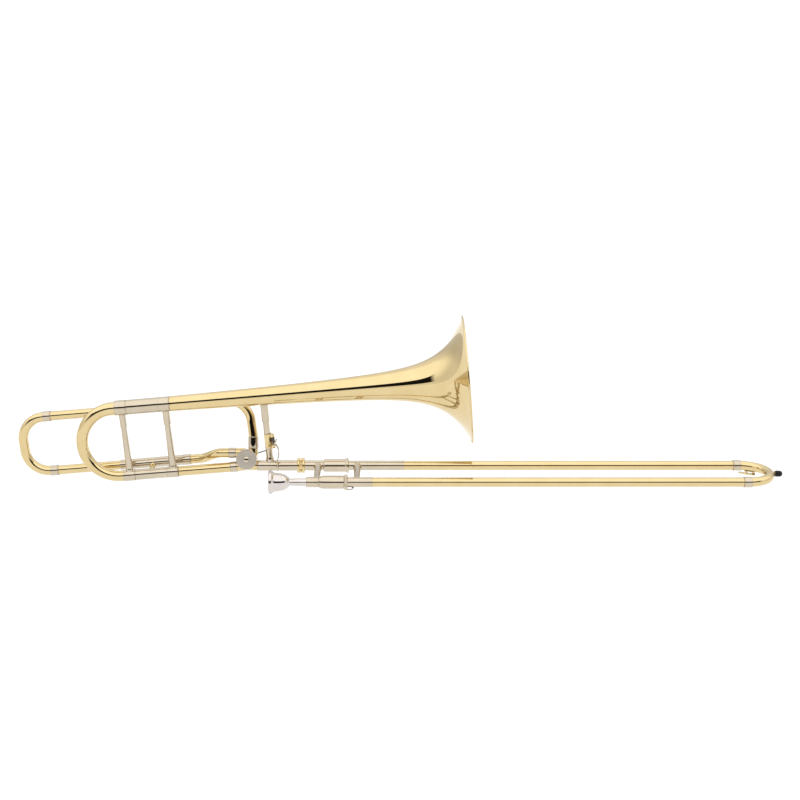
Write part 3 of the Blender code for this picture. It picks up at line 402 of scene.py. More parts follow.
def boolean(piece, other, operation):
    """Join or cut a piece with another, which is used up."""
    step = piece.modifiers.new(operation.lower(), "BOOLEAN")
    step.operation = operation
    step.object = other
    step.solver = "EXACT"
    bpy.context.view_layer.update()
    evaluated = piece.evaluated_get(bpy.context.evaluated_depsgraph_get())
    result = bpy.data.meshes.new_from_object(evaluated)
    shape = bmesh.new()
    shape.from_mesh(result)
    without_slivers(shape)
    shape.to_mesh(result)
    shape.free()
    piece.modifiers.clear()
    piece.data = result
    bpy.data.objects.remove(other, do_unlink=True)
    result.set_sharp_from_angle(angle=math.radians(35.0))
    return piece


def unite(piece, *others):
    for other in others:
        boolean(piece, other, "UNION")
    return piece


def saddle(piece, space, at, radius, reach=60.0):
    """Cut a piece to sit on a tube whose axis runs along the frame's X through a point."""
    middle = Vector(at).x
    room = rod(middle - reach, middle + reach, radius)
    return boolean(piece, lathe("cutter", room, space, (0, at[1], at[2]), ease=0), "DIFFERENCE")


def arc(centre, radius, start, end, count):
    """Points of an arc in a plane, as (x, y) pairs; angles in degrees."""
    turns = [math.radians(start + (end - start) * i / (count - 1)) for i in range(count)]
    return [(centre[0] + radius * math.cos(a), centre[1] + radius * math.sin(a)) for a in turns]


def capsule(a, b, radius, other=None, count=17):
    """Outline round two circles, such as an ear or an arm; the second may have its own radius."""
    heading = math.degrees(math.atan2(b[1] - a[1], b[0] - a[0]))
    other = radius if other is None else other
    near_end = arc(a, radius, heading + 90, heading + 270, count)
    far_end = arc(b, other, heading - 90, heading + 90, count)
    return near_end + far_end


def hermite(start, start_run, end, end_run, count):
    """Points of a smooth bend between two points with given end directions."""
    a, b, u, v = Vector(start), Vector(end), Vector(start_run), Vector(end_run)
    points = []
    for i in range(count):
        s = i / (count - 1)
        points.append(a * (2 * s**3 - 3 * s**2 + 1) + u * (s**3 - 2 * s**2 + s)
                      + b * (3 * s**2 - 2 * s**3) + v * (s**3 - s**2))
    return points


def smooth_line(points, steps=6):
    """A smooth curve through 2-D points, steps points to a stretch."""
    knots = [Vector(p) for p in points]
    line = []
    for i in range(len(knots) - 1):
        before, a, b = knots[max(i - 1, 0)], knots[i], knots[i + 1]
        after = knots[min(i + 2, len(knots) - 1)]
        for k in range(steps):
            t = k / steps
            line.append(tuple(0.5 * (2 * a + (b - before) * t + (2 * before - 5 * a + 4 * b - after) * t * t
                                     + (3 * a - before - 3 * b + after) * t**3)))
    return line + [tuple(knots[-1])]


def inner_radius(node, space, extent):
    """Smallest distance of a node's points from its axis: the bore of a tube."""
    inverse = space.inverted()
    points = [inverse @ (vertex.co / MM) - extent.at for vertex in NODES[node].data.vertices]
    return min(math.hypot(point.y, point.z) for point in points)


# ---------------------------------------------------------------- turned pieces

def grooved(start, end, radius, marks):
    """The outer side of a sleeve from its far end to its start, with fine lines cut at the marks."""
    points = [(end, radius)]
    for mark in sorted(marks, reverse=True):
        for offset, depth in ((1, 0), (0.8, 1), (-0.8, 1), (-1, 0)):
            points.append((mark + offset * LINE_HALF_WIDTH, radius - depth * LINE_DEPTH))
    return points + [(start, radius)]


def plain_tube(node, space=SLIDE):
    """A straight tube over the whole length of its CAD node."""
    cad = Extent(node, space)
    outline = pipe(cad.start, cad.end, cad.radius, inner_radius(node, space, cad))
    return show(lathe(f"{node}_fine", outline, space, cad.at, 0.15), node)


def ferrule(node, space=SLIDE):
    """A short sleeve over a joint, with a fine line turned near each end."""
    cad = Extent(node, space)
    bore = inner_radius(node, space, cad)
    outer = grooved(cad.start, cad.end, cad.radius, (cad.start + LINE_INSET, cad.end - LINE_INSET))
    outline = outer + [(cad.start, bore), (cad.end, bore)]
    return show(lathe(f"{node}_fine", outline, space, cad.at, 0.18), node)


def ringed_sleeve(node, body_radius, ring_length, flange=0.0):
    """An outer sleeve of a tuning slide: a plain tube whose end carries a thicker ring."""
    cad = Extent(node, SECTION)
    bore = inner_radius(node, SECTION, cad)
    ring_start = cad.end - ring_length
    outer = grooved(ring_start, cad.end, cad.radius, (cad.end - LINE_INSET, ring_start + LINE_INSET))
    outer.append((ring_start, body_radius))
    if flange:
        flange_end = cad.start + flange
        outer += [(flange_end, body_radius), (flange_end, cad.radius), (cad.start, cad.radius)]
    else:
        outer.append((cad.start, body_radius))
    outline = outer + [(cad.start, bore), (cad.end, bore)]
    return show(lathe(f"{node}_fine", outline, SECTION, cad.at, 0.2), node)


def make_bell():
    """The bell with its rolled rim bead; rows of points crowd together towards the flare."""
    cad = Extent("bell", SECTION)
    rim, rows, crowding = cad.end, 120, 2.2
    bead_centre = (rim - RIM_BEAD, bell_radius(0.0) - RIM_BEAD)
    bead = arc(bead_centre, RIM_BEAD, 0.0, 250.0, 18)
    inside_bead, clear_of_bead = 1.5, 2.4
    stretch = cad.length - clear_of_bead
    distances = [clear_of_bead + stretch * (i / (rows - 1)) ** crowding for i in range(rows)]
    outer = [(rim - distance, bell_radius(distance)) for distance in distances]
    inner = []
    for distance in [inside_bead] + distances:
        radius = bell_radius(distance)
        slope = math.atan(radius - bell_radius(distance + 1.0))
        inner.append((rim - distance + BELL_WALL * math.sin(slope), radius - BELL_WALL * math.cos(slope)))
    inner[-1] = (outer[-1][0], outer[-1][1] - BELL_WALL)
    outline = bead + outer + inner[::-1]
    show(lathe("bell_fine", outline, SECTION, cad.at, ease=0, steps=FINE_ROUND), "bell")


def make_tubes_and_ferrules():
    for node in ("upper_inner_tube", "lower_inner_tube", "upper_outer_tube", "lower_outer_tube", "neckpipe",
                 "slide_receiver"):
        plain_tube(node)
    for node in ("tuning_upper_leg", "tuning_lower_leg", "f_upper_leg", "f_lower_leg", "lower_main_tube"):
        plain_tube(node, SECTION)
    for node in ("upper_bow_ferrule", "lower_bow_ferrule", "mouthpiece_receiver", "f_return_ferrule"):
        ferrule(node)
    for node in ("tuning_upper_ferrule", "tuning_lower_ferrule", "f_upper_ferrule", "f_lower_ferrule",
                 "lower_main_ferrule"):
        ferrule(node, SECTION)
    ferrule("f_riser_ferrule", basis(ORIGIN, VALVE_UP, X))
    ringed_sleeve("tuning_upper_sleeve", body_radius=12.5, ring_length=19.0)
    ringed_sleeve("tuning_lower_sleeve", body_radius=LOWER_SLEEVE_RADIUS, ring_length=19.0)
    ringed_sleeve("f_lower_sleeve", body_radius=F_SLEEVE_RADIUS, ring_length=13.2, flange=4.0)
    ringed_sleeve("f_upper_sleeve", body_radius=F_SLEEVE_RADIUS, ring_length=13.9)


# ---------------------------------------------------------------- braces and stays

def between_legs(node):
    """A post between the bell section's legs: its place along them, its frame and its span."""
    x = Extent(node, SECTION).centre.x
    low, high = SECTION @ Vector((x, 0, LOWER_LEG.z)), SECTION @ Vector((x, 0, UPPER_LEG.z))
    return x, basis(low, high - low, SECTION_X), (high - low).length


def section_brace(node, socket, waist, foot, socket_length):
    """A conical post between the two legs of the bell section, with a socket at its upper end."""
    x, space, span = between_legs(node)
    ring = Extent("tuning_upper_ferrule", SECTION).radius
    foot_ring = Extent("tuning_lower_ferrule", SECTION).radius
    top, bottom = span - ring / 2, foot_ring / 2
    joint = span - ring - socket_length
    flange = foot + 0.5
    outline = [(top, 0), (top, socket), (joint, socket), (joint, waist), (joint - 25.0, waist + 0.35),
               (foot_ring + 3.0, foot), (foot_ring + 1.6, flange), (bottom, flange), (bottom, 0)]
    brace = lathe(f"{node}_fine", outline, space, ease=0.4)
    saddle(brace, SECTION, (x, 0, UPPER_LEG.z), ring + SEAT_GAP)
    saddle(brace, SECTION, (x, 0, LOWER_LEG.z), foot_ring + SEAT_GAP)
    return show(brace, node)


def make_bell_brace():
    """The post between the neck pipe and the bell; its upper socket is long, its foot a wide saddle."""
    x, space, span = between_legs("bell_brace")
    throat = bell_radius(Extent("bell", SECTION).end - x)
    top, joint, bottom = span - throat * 0.6, span - 45.0, 4.0
    socket, foot = 6.3, 6.6
    outline = [(top, 0), (top, socket), (joint, socket), (joint, 5.0), (joint - 20, 5.3),
               (bottom + 9.0, 5.6), (bottom + 5.5, foot), (bottom, foot), (bottom, 0)]
    brace = lathe("bell_brace_fine", outline, space, ease=0.5)
    saddle(brace, SECTION, (x, 0, UPPER_LEG.z), throat + THROAT_GAP)
    neck = Extent("neckpipe")
    saddle(brace, SLIDE, (neck.end - 30.0, neck.centre.y, neck.centre.z), neck.radius + SEAT_GAP)
    show(brace, "bell_brace")


def slide_brace(node, upper, lower):
    """A brace across the slide: a round tube with a flared saddle at each end."""
    cad = Extent(node)
    x = cad.centre.x
    top, bottom = Vector((x, upper.centre.y, upper.centre.z)), Vector((x, lower.centre.y, lower.centre.z))
    space = basis(top, bottom - top, X)
    span = (bottom - top).length
    flare = cad.length / 2
    waist = flare - 1.6

    def end_profile(ring):
        return [(ring + 7.0, waist), (ring + 4.5, waist + 0.3), (ring + 3.0, flare - 0.3),
                (ring + 2.0, flare), (ring / 2, flare)]

    far = [(span - distance, radius) for distance, radius in end_profile(lower.radius)]
    outline = [(far[-1][0], 0)] + far[::-1] + end_profile(upper.radius) + [(upper.radius / 2, 0)]
    brace = lathe(f"{node}_fine", outline, space, ease=0.5)
    saddle(brace, SLIDE, top, upper.radius + SEAT_GAP)
    saddle(brace, SLIDE, bottom, lower.radius + SEAT_GAP)
    return brace


def make_slide_braces():
    """The inner brace, cut clear of the lower barrel, and the outer one that the hand holds."""
    inner = slide_brace("inner_brace", Extent("slide_receiver"), Extent("mouthpiece_receiver"))
    barrel = Extent("lower_cork_barrel")
    room = rod(barrel.start - 0.2, barrel.start + 30, barrel.radius + 0.1)
    show(boolean(inner, lathe("cutter", room, SLIDE, barrel.at, ease=0), "DIFFERENCE"), "inner_brace")
    upper, lower = Extent("upper_outer_sleeve"), Extent("lower_outer_tube")
    lower.radius = upper.radius
    show(slide_brace("outer_brace", upper, lower), "outer_brace")


def make_stay(node, low_axis, high_axis, low_radius, high_radius):
    """A short waisted stay between two tubes of the bell section."""
    cad = Extent(node, SECTION)
    x = cad.centre.x
    low, high = Vector((x, low_axis.y, low_axis.z)), Vector((x, high_axis.y, high_axis.z))
    space = basis(SECTION @ low, (SECTION @ high) - (SECTION @ low), SECTION_X)
    span = (high - low).length
    flare, waist, foot = cad.length / 2, 3.2, 1.5
    top, bottom = span - high_radius / 2, low_radius / 2
    middle = (low_radius + span - high_radius) / 2
    outline = [(top, 0), (top, flare), (span - high_radius - foot, flare), (middle, waist),
               (low_radius + foot, flare), (bottom, flare), (bottom, 0)]
    piece = lathe(f"{node}_fine", outline, space, ease=1.5)
    saddle(piece, SECTION, low, low_radius + SEAT_GAP)
    saddle(piece, SECTION, high, high_radius + SEAT_GAP)
    show(piece, node)


# ---------------------------------------------------------------- bent tubes

def even_tube(node, points, radius, bore, space=SLIDE):
    """A bent tube for a CAD node, equally wide all along outside and inside."""
    count = len(points)
    show(sweep(f"{node}_fine", points, [radius] * count, [bore] * count, space), node)


def make_tuning_crook():
    """The main tuning crook: its bore grows from the lower leg to the upper one."""
    cad = Extent("tuning_crook", SECTION)
    low, middle, high, wall = 8.9, 9.7, 10.8, 1.0
    steps = 80
    bend = (UPPER_LEG.z - LOWER_LEG.z) / 2
    centre = (cad.start + bend + middle, (UPPER_LEG.z + LOWER_LEG.z) / 2)
    turns = arc(centre, bend, -90, -270, steps + 1)
    points = [(cad.end, 0, LOWER_LEG.z)] + [(x, 0, z) for x, z in turns] + [(cad.end, 0, UPPER_LEG.z)]
    radii = [low]
    for i in range(steps + 1):
        share = i / steps
        if share < 0.5:
            radii.append(low + (middle - low) * 2 * share)
        else:
            radii.append(middle + (high - middle) * (2 * share - 1))
    radii.append(high)
    bores = [radius - wall for radius in radii]
    show(sweep("tuning_crook_fine", points, radii, bores, SECTION, 64), "tuning_crook")


def make_f_crook():
    """The F tuning slide's crook: two quarter bends with a straight run between them."""
    cad = Extent("f_crook", SECTION)
    tube, wall, bend = 8.2, 0.9, 39.3
    low, high = cad.low.z + tube, cad.high.z - tube
    left = cad.start + tube
    lower = arc((left + bend, low + bend), bend, -90, -180, 25)
    upper = arc((left + bend, high - bend), bend, 180, 90, 25)
    flat = [(cad.end, low)] + lower + upper + [(cad.end, high)]
    even_tube("f_crook", [(x, cad.centre.y, z) for x, z in flat], tube, tube - wall, SECTION)


def make_slide_bow():
    cad, tube, wall = Extent("slide_bow"), Extent("upper_outer_tube").radius, 0.7
    bend = (cad.high.y - cad.low.y) / 2 - tube
    middle = cad.centre.y
    turns = arc((cad.end - bend - tube, middle), bend, 90, -90, 81)
    flat = [(cad.start, middle + bend)] + turns + [(cad.start, middle - bend)]
    even_tube("slide_bow", [(x, y, cad.centre.z) for x, y in flat], tube, tube - wall)


def make_f_riser():
    """The branch that climbs from the valve and bends into the F tuning slide's upper sleeve."""
    collar = Extent("f_riser_ferrule", VALVE)
    foot = Vector((0, collar.centre.y, collar.low.z + 9.0))
    past_collar = Vector((0, collar.centre.y, collar.high.z + 1.5))
    knee = Vector((0, collar.centre.y - 3.5, 64.0))
    sleeve = Extent("f_upper_sleeve", SECTION)
    top = SECTION @ Vector((sleeve.end + JOINT_GAP, sleeve.centre.y, sleeve.centre.z))
    leaving, arriving = VALVE_UP * 56 - Vector((5, 0, 0)), -SECTION_X * 58
    bend = hermite(VALVE @ knee, leaving, top + SECTION_X * 17, arriving, 49)
    points = [VALVE @ foot, VALVE @ past_collar] + bend + [top]
    even_tube("f_riser_tube", points, F_BRANCH_RADIUS, F_BRANCH_BORE)


def make_f_return():
    """The branch back from the F tuning slide's lower sleeve to the valve."""
    sleeve, collar = Extent("f_lower_sleeve", SECTION), Extent("f_return_ferrule")
    begin = SECTION @ Vector((sleeve.end + JOINT_GAP, sleeve.centre.y, sleeve.centre.z))
    start = begin + SECTION_X * 14
    settle = Vector((collar.start - 12.0, collar.centre.y, collar.centre.z))
    points = [begin]
    for i in range(41):
        share = i / 40
        blend = share * share * (3 - 2 * share)
        points.append(Vector((start.x + (settle.x - start.x) * share,
                              start.y + (settle.y - start.y) * blend,
                              start.z + (settle.z - start.z) * blend)))
    points.append(Vector((collar.start + 6.0, collar.centre.y, collar.centre.z)))
    even_tube("f_return_tube", points, F_BRANCH_RADIUS, F_BRANCH_BORE)


# ---------------------------------------------------------------- rotary valve

def nipple_runs():
    """For each tube that meets the casing: where its nipple starts, which way it runs in and how far."""
    neck, main = Extent("neckpipe"), Extent("lower_main_tube", SECTION)
    collar, riser = Extent("f_return_ferrule"), Extent("f_riser_ferrule", VALVE)
    middle = joint_point("rotor_turn")
    neck_port = VALVE @ Vector((0, 0, -NECK_PORT_DROP))
    neck_start, riser_foot = neck.start - JOINT_GAP, riser.low.z + 7.7
    return [
        (Vector((neck_start, neck_port.y, neck_port.z)), -X, neck_start - middle.x - 2.0),
        (Vector((collar.start + 6.3, collar.centre.y, collar.centre.z)), X, middle.x - collar.start - 8.3),
        (VALVE @ Vector((0, riser.centre.y, riser_foot)), -VALVE_UP, riser_foot - 7.0),
        (SECTION @ Vector((main.end + JOINT_GAP, main.centre.y, main.centre.z)), SECTION_X, 20.0),
    ]


def make_casing(outer, half):
    """The hollow casing with a raised band at each end and its four nipples."""
    well, waist = outer - 2.4, outer - 0.4
    outline = [(half, 0), (half, outer), (half - 2.2, outer), (half - 2.6, waist), (2.6 - half, waist),
               (2.2 - half, outer), (-half, outer), (-half, 0)]
    body = lathe("rotor_casing_fine", outline, VALVE)
    nipple, bore = 7.9, 7.0
    runs = []
    for foot, inward, length in nipple_runs():
        runs.append((basis(foot, inward, Z if abs(inward.z) < 0.5 else X), length))
    for space, length in runs:
        unite(body, lathe("nipple", rod(0, length, nipple), space, ease=0, steps=48))
    for space, length in runs:
        boolean(body, lathe("bore", rod(-4, length - 2, bore), space, ease=0, steps=48), "DIFFERENCE")
    reach = half + 2.0
    boolean(body, lathe("well", rod(-reach, reach, well), VALVE, ease=0), "DIFFERENCE")
    show(body, "rotor_casing")


def make_valve():
    """Casing, front cap and back plate of the rotary valve."""
    cap, back = Extent("rotor_front_cap", VALVE), Extent("rotor_back_plate", VALVE)
    make_casing(back.radius, cap.start - JOINT_GAP)
    make_front_cap(cap)
    hole = inner_radius("rotor_back_plate", VALVE, back)
    plate = pipe(back.start, back.end, back.radius, hole)
    show(lathe("rotor_back_plate_fine", plate, VALVE), "rotor_back_plate")


def make_front_cap(cap):
    """Flat satin cap with a fine milled edge and one turned ring, and a polished dome over the spindle."""
    dome_height, dome_radius = 2.0, 5.2
    face, rim = cap.end - dome_height, cap.radius
    outline = [(face, 0), (face, 6.9), (face, 12.4), (face - 0.15, 12.6), (face - 0.15, 12.9), (face, 13.1),
               (face, rim - 1.0), (face - 0.8, rim), (cap.start + 0.5, rim), (cap.start, rim - 0.5),
               (cap.start, 0)]
    ridges, depth = 64, 0.22

    def milling(angle, along, radius):
        inside = radius > rim - 0.2 and along < face - 0.7
        return -depth * (0.5 + 0.5 * math.cos(ridges * angle)) if inside else 0.0

    disc = lathe("rotor_front_cap_fine", outline, VALVE, ease=0.15, steps=KNURL_ROUND, wave=milling)
    show(disc, "rotor_front_cap")
    disc.data.materials.clear()
    disc.data.materials.append(metal("nickel_satin", (0.66, 0.60, 0.52), (0.61, 0.55, 0.47), 0.5))
    button = [(cap.end, 0)]
    for angle in range(6, 91, 6):
        turn = math.radians(angle)
        button.append((face + dome_height * math.cos(turn), dome_radius * math.sin(turn)))
    button += [(face - 0.5, dome_radius), (face - 0.5, 0)]
    show(lathe("rotor_front_cap_button", button, VALVE, ease=0, steps=64), "rotor_front_cap")


def make_stop_plate():
    """The strip round the spindle with a post near each end."""
    plate = Extent("stop_plate", STOP_SPACE)
    top, thickness = plate.high.z, 0.9
    first, last = -165, 45
    inner, outer, post_circle, post_radius = 11.0, 15.5, 13.2, 2.3
    outline = arc((0, 0), inner, first, last, 49) + arc((0, 0), outer, last, first, 49)
    place = STOP_SPACE @ Matrix.Translation((0, 0, top - thickness / 2))
    strip = prism("stop_plate_fine", outline, thickness, place, 0.2)
    for angle in (first + 1.0, last - 1.0):
        turn = math.radians(angle)
        foot = STOP_SPACE @ Vector((post_circle * math.cos(turn), post_circle * math.sin(turn), 0))
        post = rod(plate.low.z, top - 0.3, post_radius)
        unite(strip, lathe("post", post, basis(foot, -joint_axis("rotor_turn"), X), ease=0.4, steps=48))
    show(strip, "stop_plate")


def make_stop_arm():
    """The arm on the spindle; the middle of its tip is handed back."""
    arm = Extent("stop_arm", STOP_SPACE)
    reach, turn = 9.0, math.radians(165.0)
    tip = (reach * math.cos(turn), reach * math.sin(turn))
    place = STOP_SPACE @ Matrix.Translation((0, 0, arm.centre.z))
    outline = capsule((0, 0), tip, 5.2, 3.0)
    show(prism("stop_arm_fine", outline, arm.high.z - arm.low.z, place, 0.4), "stop_arm")
    return tip


def make_link(tip):
    """Thin rod with a ball at each end, from the stop arm's tip to the thumb lever's arm."""
    cad = Extent("link_rod", STOP_SPACE)
    ball, neck, wire = (cad.high.z - cad.low.z) / 2, 2.6, 1.0
    near = STOP_SPACE @ Vector((tip[0], tip[1], cad.centre.z))
    far_x = cad.high.x - ball
    far_y = cad.high.y - ball if cad.high.y - ball > tip[1] + 3.0 else cad.low.y + ball
    far = STOP_SPACE @ Vector((far_x, far_y, cad.centre.z))
    length = (far - near).length
    far_ball = arc((length, 0), ball, 0, 150, 11)
    near_ball = arc((0, 0), ball, 30, 165, 10) + [(-ball, 0)]
    outline = far_ball + [(length - neck, wire), (neck, wire)] + near_ball
    show(lathe("link_rod_fine", outline, basis(near, far - near, Z), ease=0, steps=48), "link_rod")
    return STOP_SPACE @ Vector((far_x, far_y, cad.high.z + 2.4))


# ---------------------------------------------------------------- thumb lever

def make_lever_saddle():
    """Clip round the bell brace, cut open at the back, with two ears for the hinge pin."""
    cad = Extent("lever_saddle", LEVER)
    low, high = cad.low.z, cad.high.z
    clip_radius, clip_bore, ear_radius = 7.4, 5.75, 3.2
    brace = Vector((*BRACE_OFFSET, 0))
    brace_axis = basis(LEVER @ brace, LEVER_UP, X)
    clip = lathe("lever_saddle_fine", pipe(low, high, clip_radius, clip_bore), brace_axis, ease=0.4)
    opening = basis(LEVER @ (brace + Vector((-11.0, 5.0, 0))), LEVER_UP, X)
    boolean(clip, lathe("cutter", rod(low - 1, high + 1, 12), opening, ease=0), "DIFFERENCE")
    root = brace * (1 - 9.1 / brace.length)
    for ear_low, ear_high in ((29.5, 34.2), (49.0, 54.0)):
        place = LEVER @ Matrix.Translation((0, 0, (ear_low + ear_high) / 2))
        outline = capsule((root.x, root.y), (0, 0), ear_radius)
        unite(clip, prism("ear", outline, ear_high - ear_low, place, 0.5))
    show(clip, "lever_saddle")


def make_lever_hinge():
    """The hinge pin between the two ears and the coil spring round it."""
    cad = Extent("lever_saddle", LEVER)
    top, bottom = cad.high.z, cad.low.z + 0.6
    head, shaft = 1.9, 1.2
    pin = [(top, 0), (top, head), (top - 1.0, head), (top - 1.0, shaft), (bottom, shaft), (bottom, 0)]
    show(lathe("lever_hinge_pin", pin, LEVER_HINGE, ease=0.2, steps=48), "lever_saddle")
    turns, per_turn, wire = 6.5, 24, 0.62
    coil_start, coil_length, coil_radius = 38.6, 10.1, 2.55
    count = int(turns * per_turn)
    points = []
    for i in range(count + 1):
        turn = 2 * math.pi * i / per_turn
        along = coil_start + wire + (coil_length - 2 * wire) * i / count
        points.append((along, coil_radius * math.cos(turn), coil_radius * math.sin(turn)))
    show(sweep("lever_spring_fine", points, [wire] * len(points), None, LEVER_HINGE, 12), "lever_spring")


def ribbon_outline(line, thickness):
    """Outline of a bent strip seen edge-on: its centre line moved to both sides."""
    left, right = [], []
    for i, point in enumerate(line):
        run = Vector(line[min(i + 1, len(line) - 1)]) - Vector(line[max(i - 1, 0)])
        side = Vector((-run.y, run.x)).normalized() * thickness / 2
        left.append((point[0] + side.x, point[1] + side.y))
        right.append((point[0] - side.x, point[1] - side.y))
    return left + right[::-1]


def make_thumb_lever(link_end):
    """Hub on the hinge pin, thumb strip, finger plate and the arm that reaches back to the link rod."""
    show(lathe("thumb_lever_hub", pipe(34.7, 38.2, 3.3, 1.5), LEVER_HINGE, ease=0.3), "thumb_lever")
    strip_y, strip_thickness, strip_width = -9.0, 1.5, 7.0
    side_view = [(-1.4, 37.0), (2.0, 38.6), (5.0, 37.6), (7.8, 33.0), (8.7, 27.0), (7.8, 19.0), (5.2, 11.0),
                 (4.0, 0.0), (3.4, -9.0)]
    edge_on = basis(LEVER @ Vector((0, strip_y, 0)), SECTION_X, -(LEVER.to_3x3() @ Y))
    ribbon = ribbon_outline(smooth_line(side_view), strip_thickness)
    show(prism("thumb_lever_strip", ribbon, strip_width, edge_on, 0.5), "thumb_lever")
    place = LEVER @ Matrix.Translation((0, 0, 37.0))
    link = capsule((-0.6, -3.0), (1.2, strip_y + 1.0), 1.7)
    show(prism("thumb_lever_bridge", link, 2.4, place, 0.4), "thumb_lever")
    plate = [(1.0, 0), (1.0, 5.0), (0.3, 5.4), (-1.0, 5.4), (-1.0, 0)]
    toward_thumb = LEVER.to_3x3() @ Vector((0.85, 0, -0.52))
    finger = basis(LEVER @ Vector((4.6, strip_y, 43.0)), toward_thumb, Y)
    show(lathe("thumb_lever_plate", plate, finger, ease=0.6), "thumb_lever")
    arm_radius, arm_end = 1.5, LEVER.inverted() @ link_end
    points = hermite((0.6, 2.6, 36.4), (8, 14, -2), arm_end, (-6, 16, -8), 33)
    show(sweep("thumb_lever_arm", points, [arm_radius] * len(points), None, LEVER, 24), "thumb_lever")


# ---------------------------------------------------------------- hand slide

def knurl(low, high, count, depth, radius_from):
    """A wave for lathe: ridges along the axis between two distances, outside a radius."""
    def wave(angle, along, radius):
        inside = low < along < high and radius > radius_from
        return depth * (0.5 * math.cos(count * angle) - 0.5) if inside else 0.0
    return wave


def make_lock_nut():
    """The knurled nut that holds the slide to the bell section, with a smooth band at each end."""
    cad = Extent("lock_nut")
    bore = inner_radius("lock_nut", SLIDE, cad)
    start, end, rim = cad.start, cad.end, cad.radius
    waist = rim - 0.6
    outline = [(end, rim - 0.8), (end - 0.8, rim), (end - 3.2, rim), (end - 3.8, waist), (start + 3.8, waist),
               (start + 3.2, rim), (start + 0.8, rim), (start, rim - 0.8), (start, bore), (end, bore)]
    ridges = knurl(start + 3.5, end - 3.5, 60, 0.5, rim - 1.5)
    show(lathe("lock_nut_fine", outline, SLIDE, cad.at, 0.15, 480, ridges), "lock_nut")


def make_barrels():
    """The two cork barrels: the upper one flanged, the lower one plain to leave room for the lock ring."""
    upper, lower = Extent("upper_cork_barrel"), Extent("lower_cork_barrel")
    tube = Extent("upper_inner_tube").radius + 0.3
    body, bore, flange = 10.9, 9.2, upper.radius
    shoulder, neck = upper.start + 3.0, body - 1.6
    lip = [(upper.end, flange - 0.9), (upper.end - 0.9, flange), (upper.end - 3.4, flange),
           (upper.end - 4.6, flange - 0.7), (upper.end - 5.9, body)]
    wall = [(shoulder, body), (upper.start, neck), (upper.start, tube), (upper.start + 5, tube),
            (upper.start + 5, bore), (upper.end, bore)]
    show(lathe("upper_cork_barrel_fine", lip + wall, SLIDE, upper.at, 0.4), "upper_cork_barrel")
    plain = [(lower.end, body), (shoulder, body), (lower.start, neck), (lower.start, tube),
             (shoulder + 2, tube), (shoulder + 2, bore), (lower.end, bore)]
    show(lathe("lower_cork_barrel_fine", plain, SLIDE, lower.at, 0.4), "lower_cork_barrel")
    make_lock_ring(lower, bore, flange)


def make_lock_ring(barrel, bore, radius):
    """The knurled ring at the end of the lower barrel, its tongue, and the stud the tongue catches."""
    start, end = barrel.end + JOINT_GAP, Extent("upper_cork_barrel").end
    ring = [(end, radius - 1.0), (end - 1.2, radius), (start + 1.0, radius), (start, radius - 1.0),
            (start, bore), (end, bore)]
    ridges = knurl(start + 1.1, end - 1.3, 48, 0.35, radius - 0.6)
    show(lathe("slide_lock_ring_fine", ring, SLIDE, barrel.at, 0.2, KNURL_ROUND, ridges), "slide_lock_ring")
    lean = math.radians(16.0)
    down = Vector((0, -math.sin(lean), -math.cos(lean)))
    reach = radius - 0.9
    place = basis(Vector(barrel.at) + down * reach + Vector((end, 0, 0)), X, -down)
    tongue = [(-3.2, -4.0), (8.0, -4.0), (8.0, 4.0), (-3.2, 4.0)]
    show(prism("slide_lock_tongue", tongue, 1.6, place, 0.4), "slide_lock_ring")
    foot = Vector(barrel.at) + Vector((STUD_X, 0, 0))
    stud = lathe("slide_lock_stud", rod(8.0, 10.6, 1.8), basis(foot, down, X), ease=0.3, steps=48)
    show(stud, "lower_outer_sleeve")


def make_outer_sleeves():
    """The sleeves at the open ends of the outer slide, tapered down to its tubes."""
    upper = Extent("upper_outer_sleeve")
    bore = inner_radius("upper_outer_sleeve", SLIDE, upper)
    axes = {"upper_outer_sleeve": upper.at, "lower_outer_sleeve": Extent("lower_outer_tube").at}
    for node, at in axes.items():
        cad = Extent(node)
        outline = [(cad.end, bore + 0.06), (cad.end - 2.0, upper.radius), (cad.start, upper.radius),
                   (cad.start, bore), (cad.end, bore)]
        show(lathe(f"{node}_fine", outline, SLIDE, at, 0.2), node)


def make_bumper():
    """The socket on the bow and the grooved rubber tip in it."""
    socket, rubber = Extent("bumper_socket"), Extent("rubber_bumper")
    seat = [(socket.end, 0), (socket.end, 4.2), (socket.start + 0.1, 5.0), (socket.start, 0)]
    show(lathe("bumper_socket_fine", seat, SLIDE, socket.at, 0.3), "bumper_socket")
    tip, start, wide = rubber.end, rubber.start, rubber.radius
    bullet = [(tip, 0), (tip, 2.4), (tip - 1.2, 4.1), (tip - 4.5, wide), (start + 5.4, wide),
              (start + 4.8, wide - 0.35), (start + 4.2, wide), (start + 1.6, wide), (start, wide - 0.6),
              (start, 0)]
    show(lathe("rubber_bumper_fine", bullet, SLIDE, rubber.at, 0.8), "rubber_bumper")


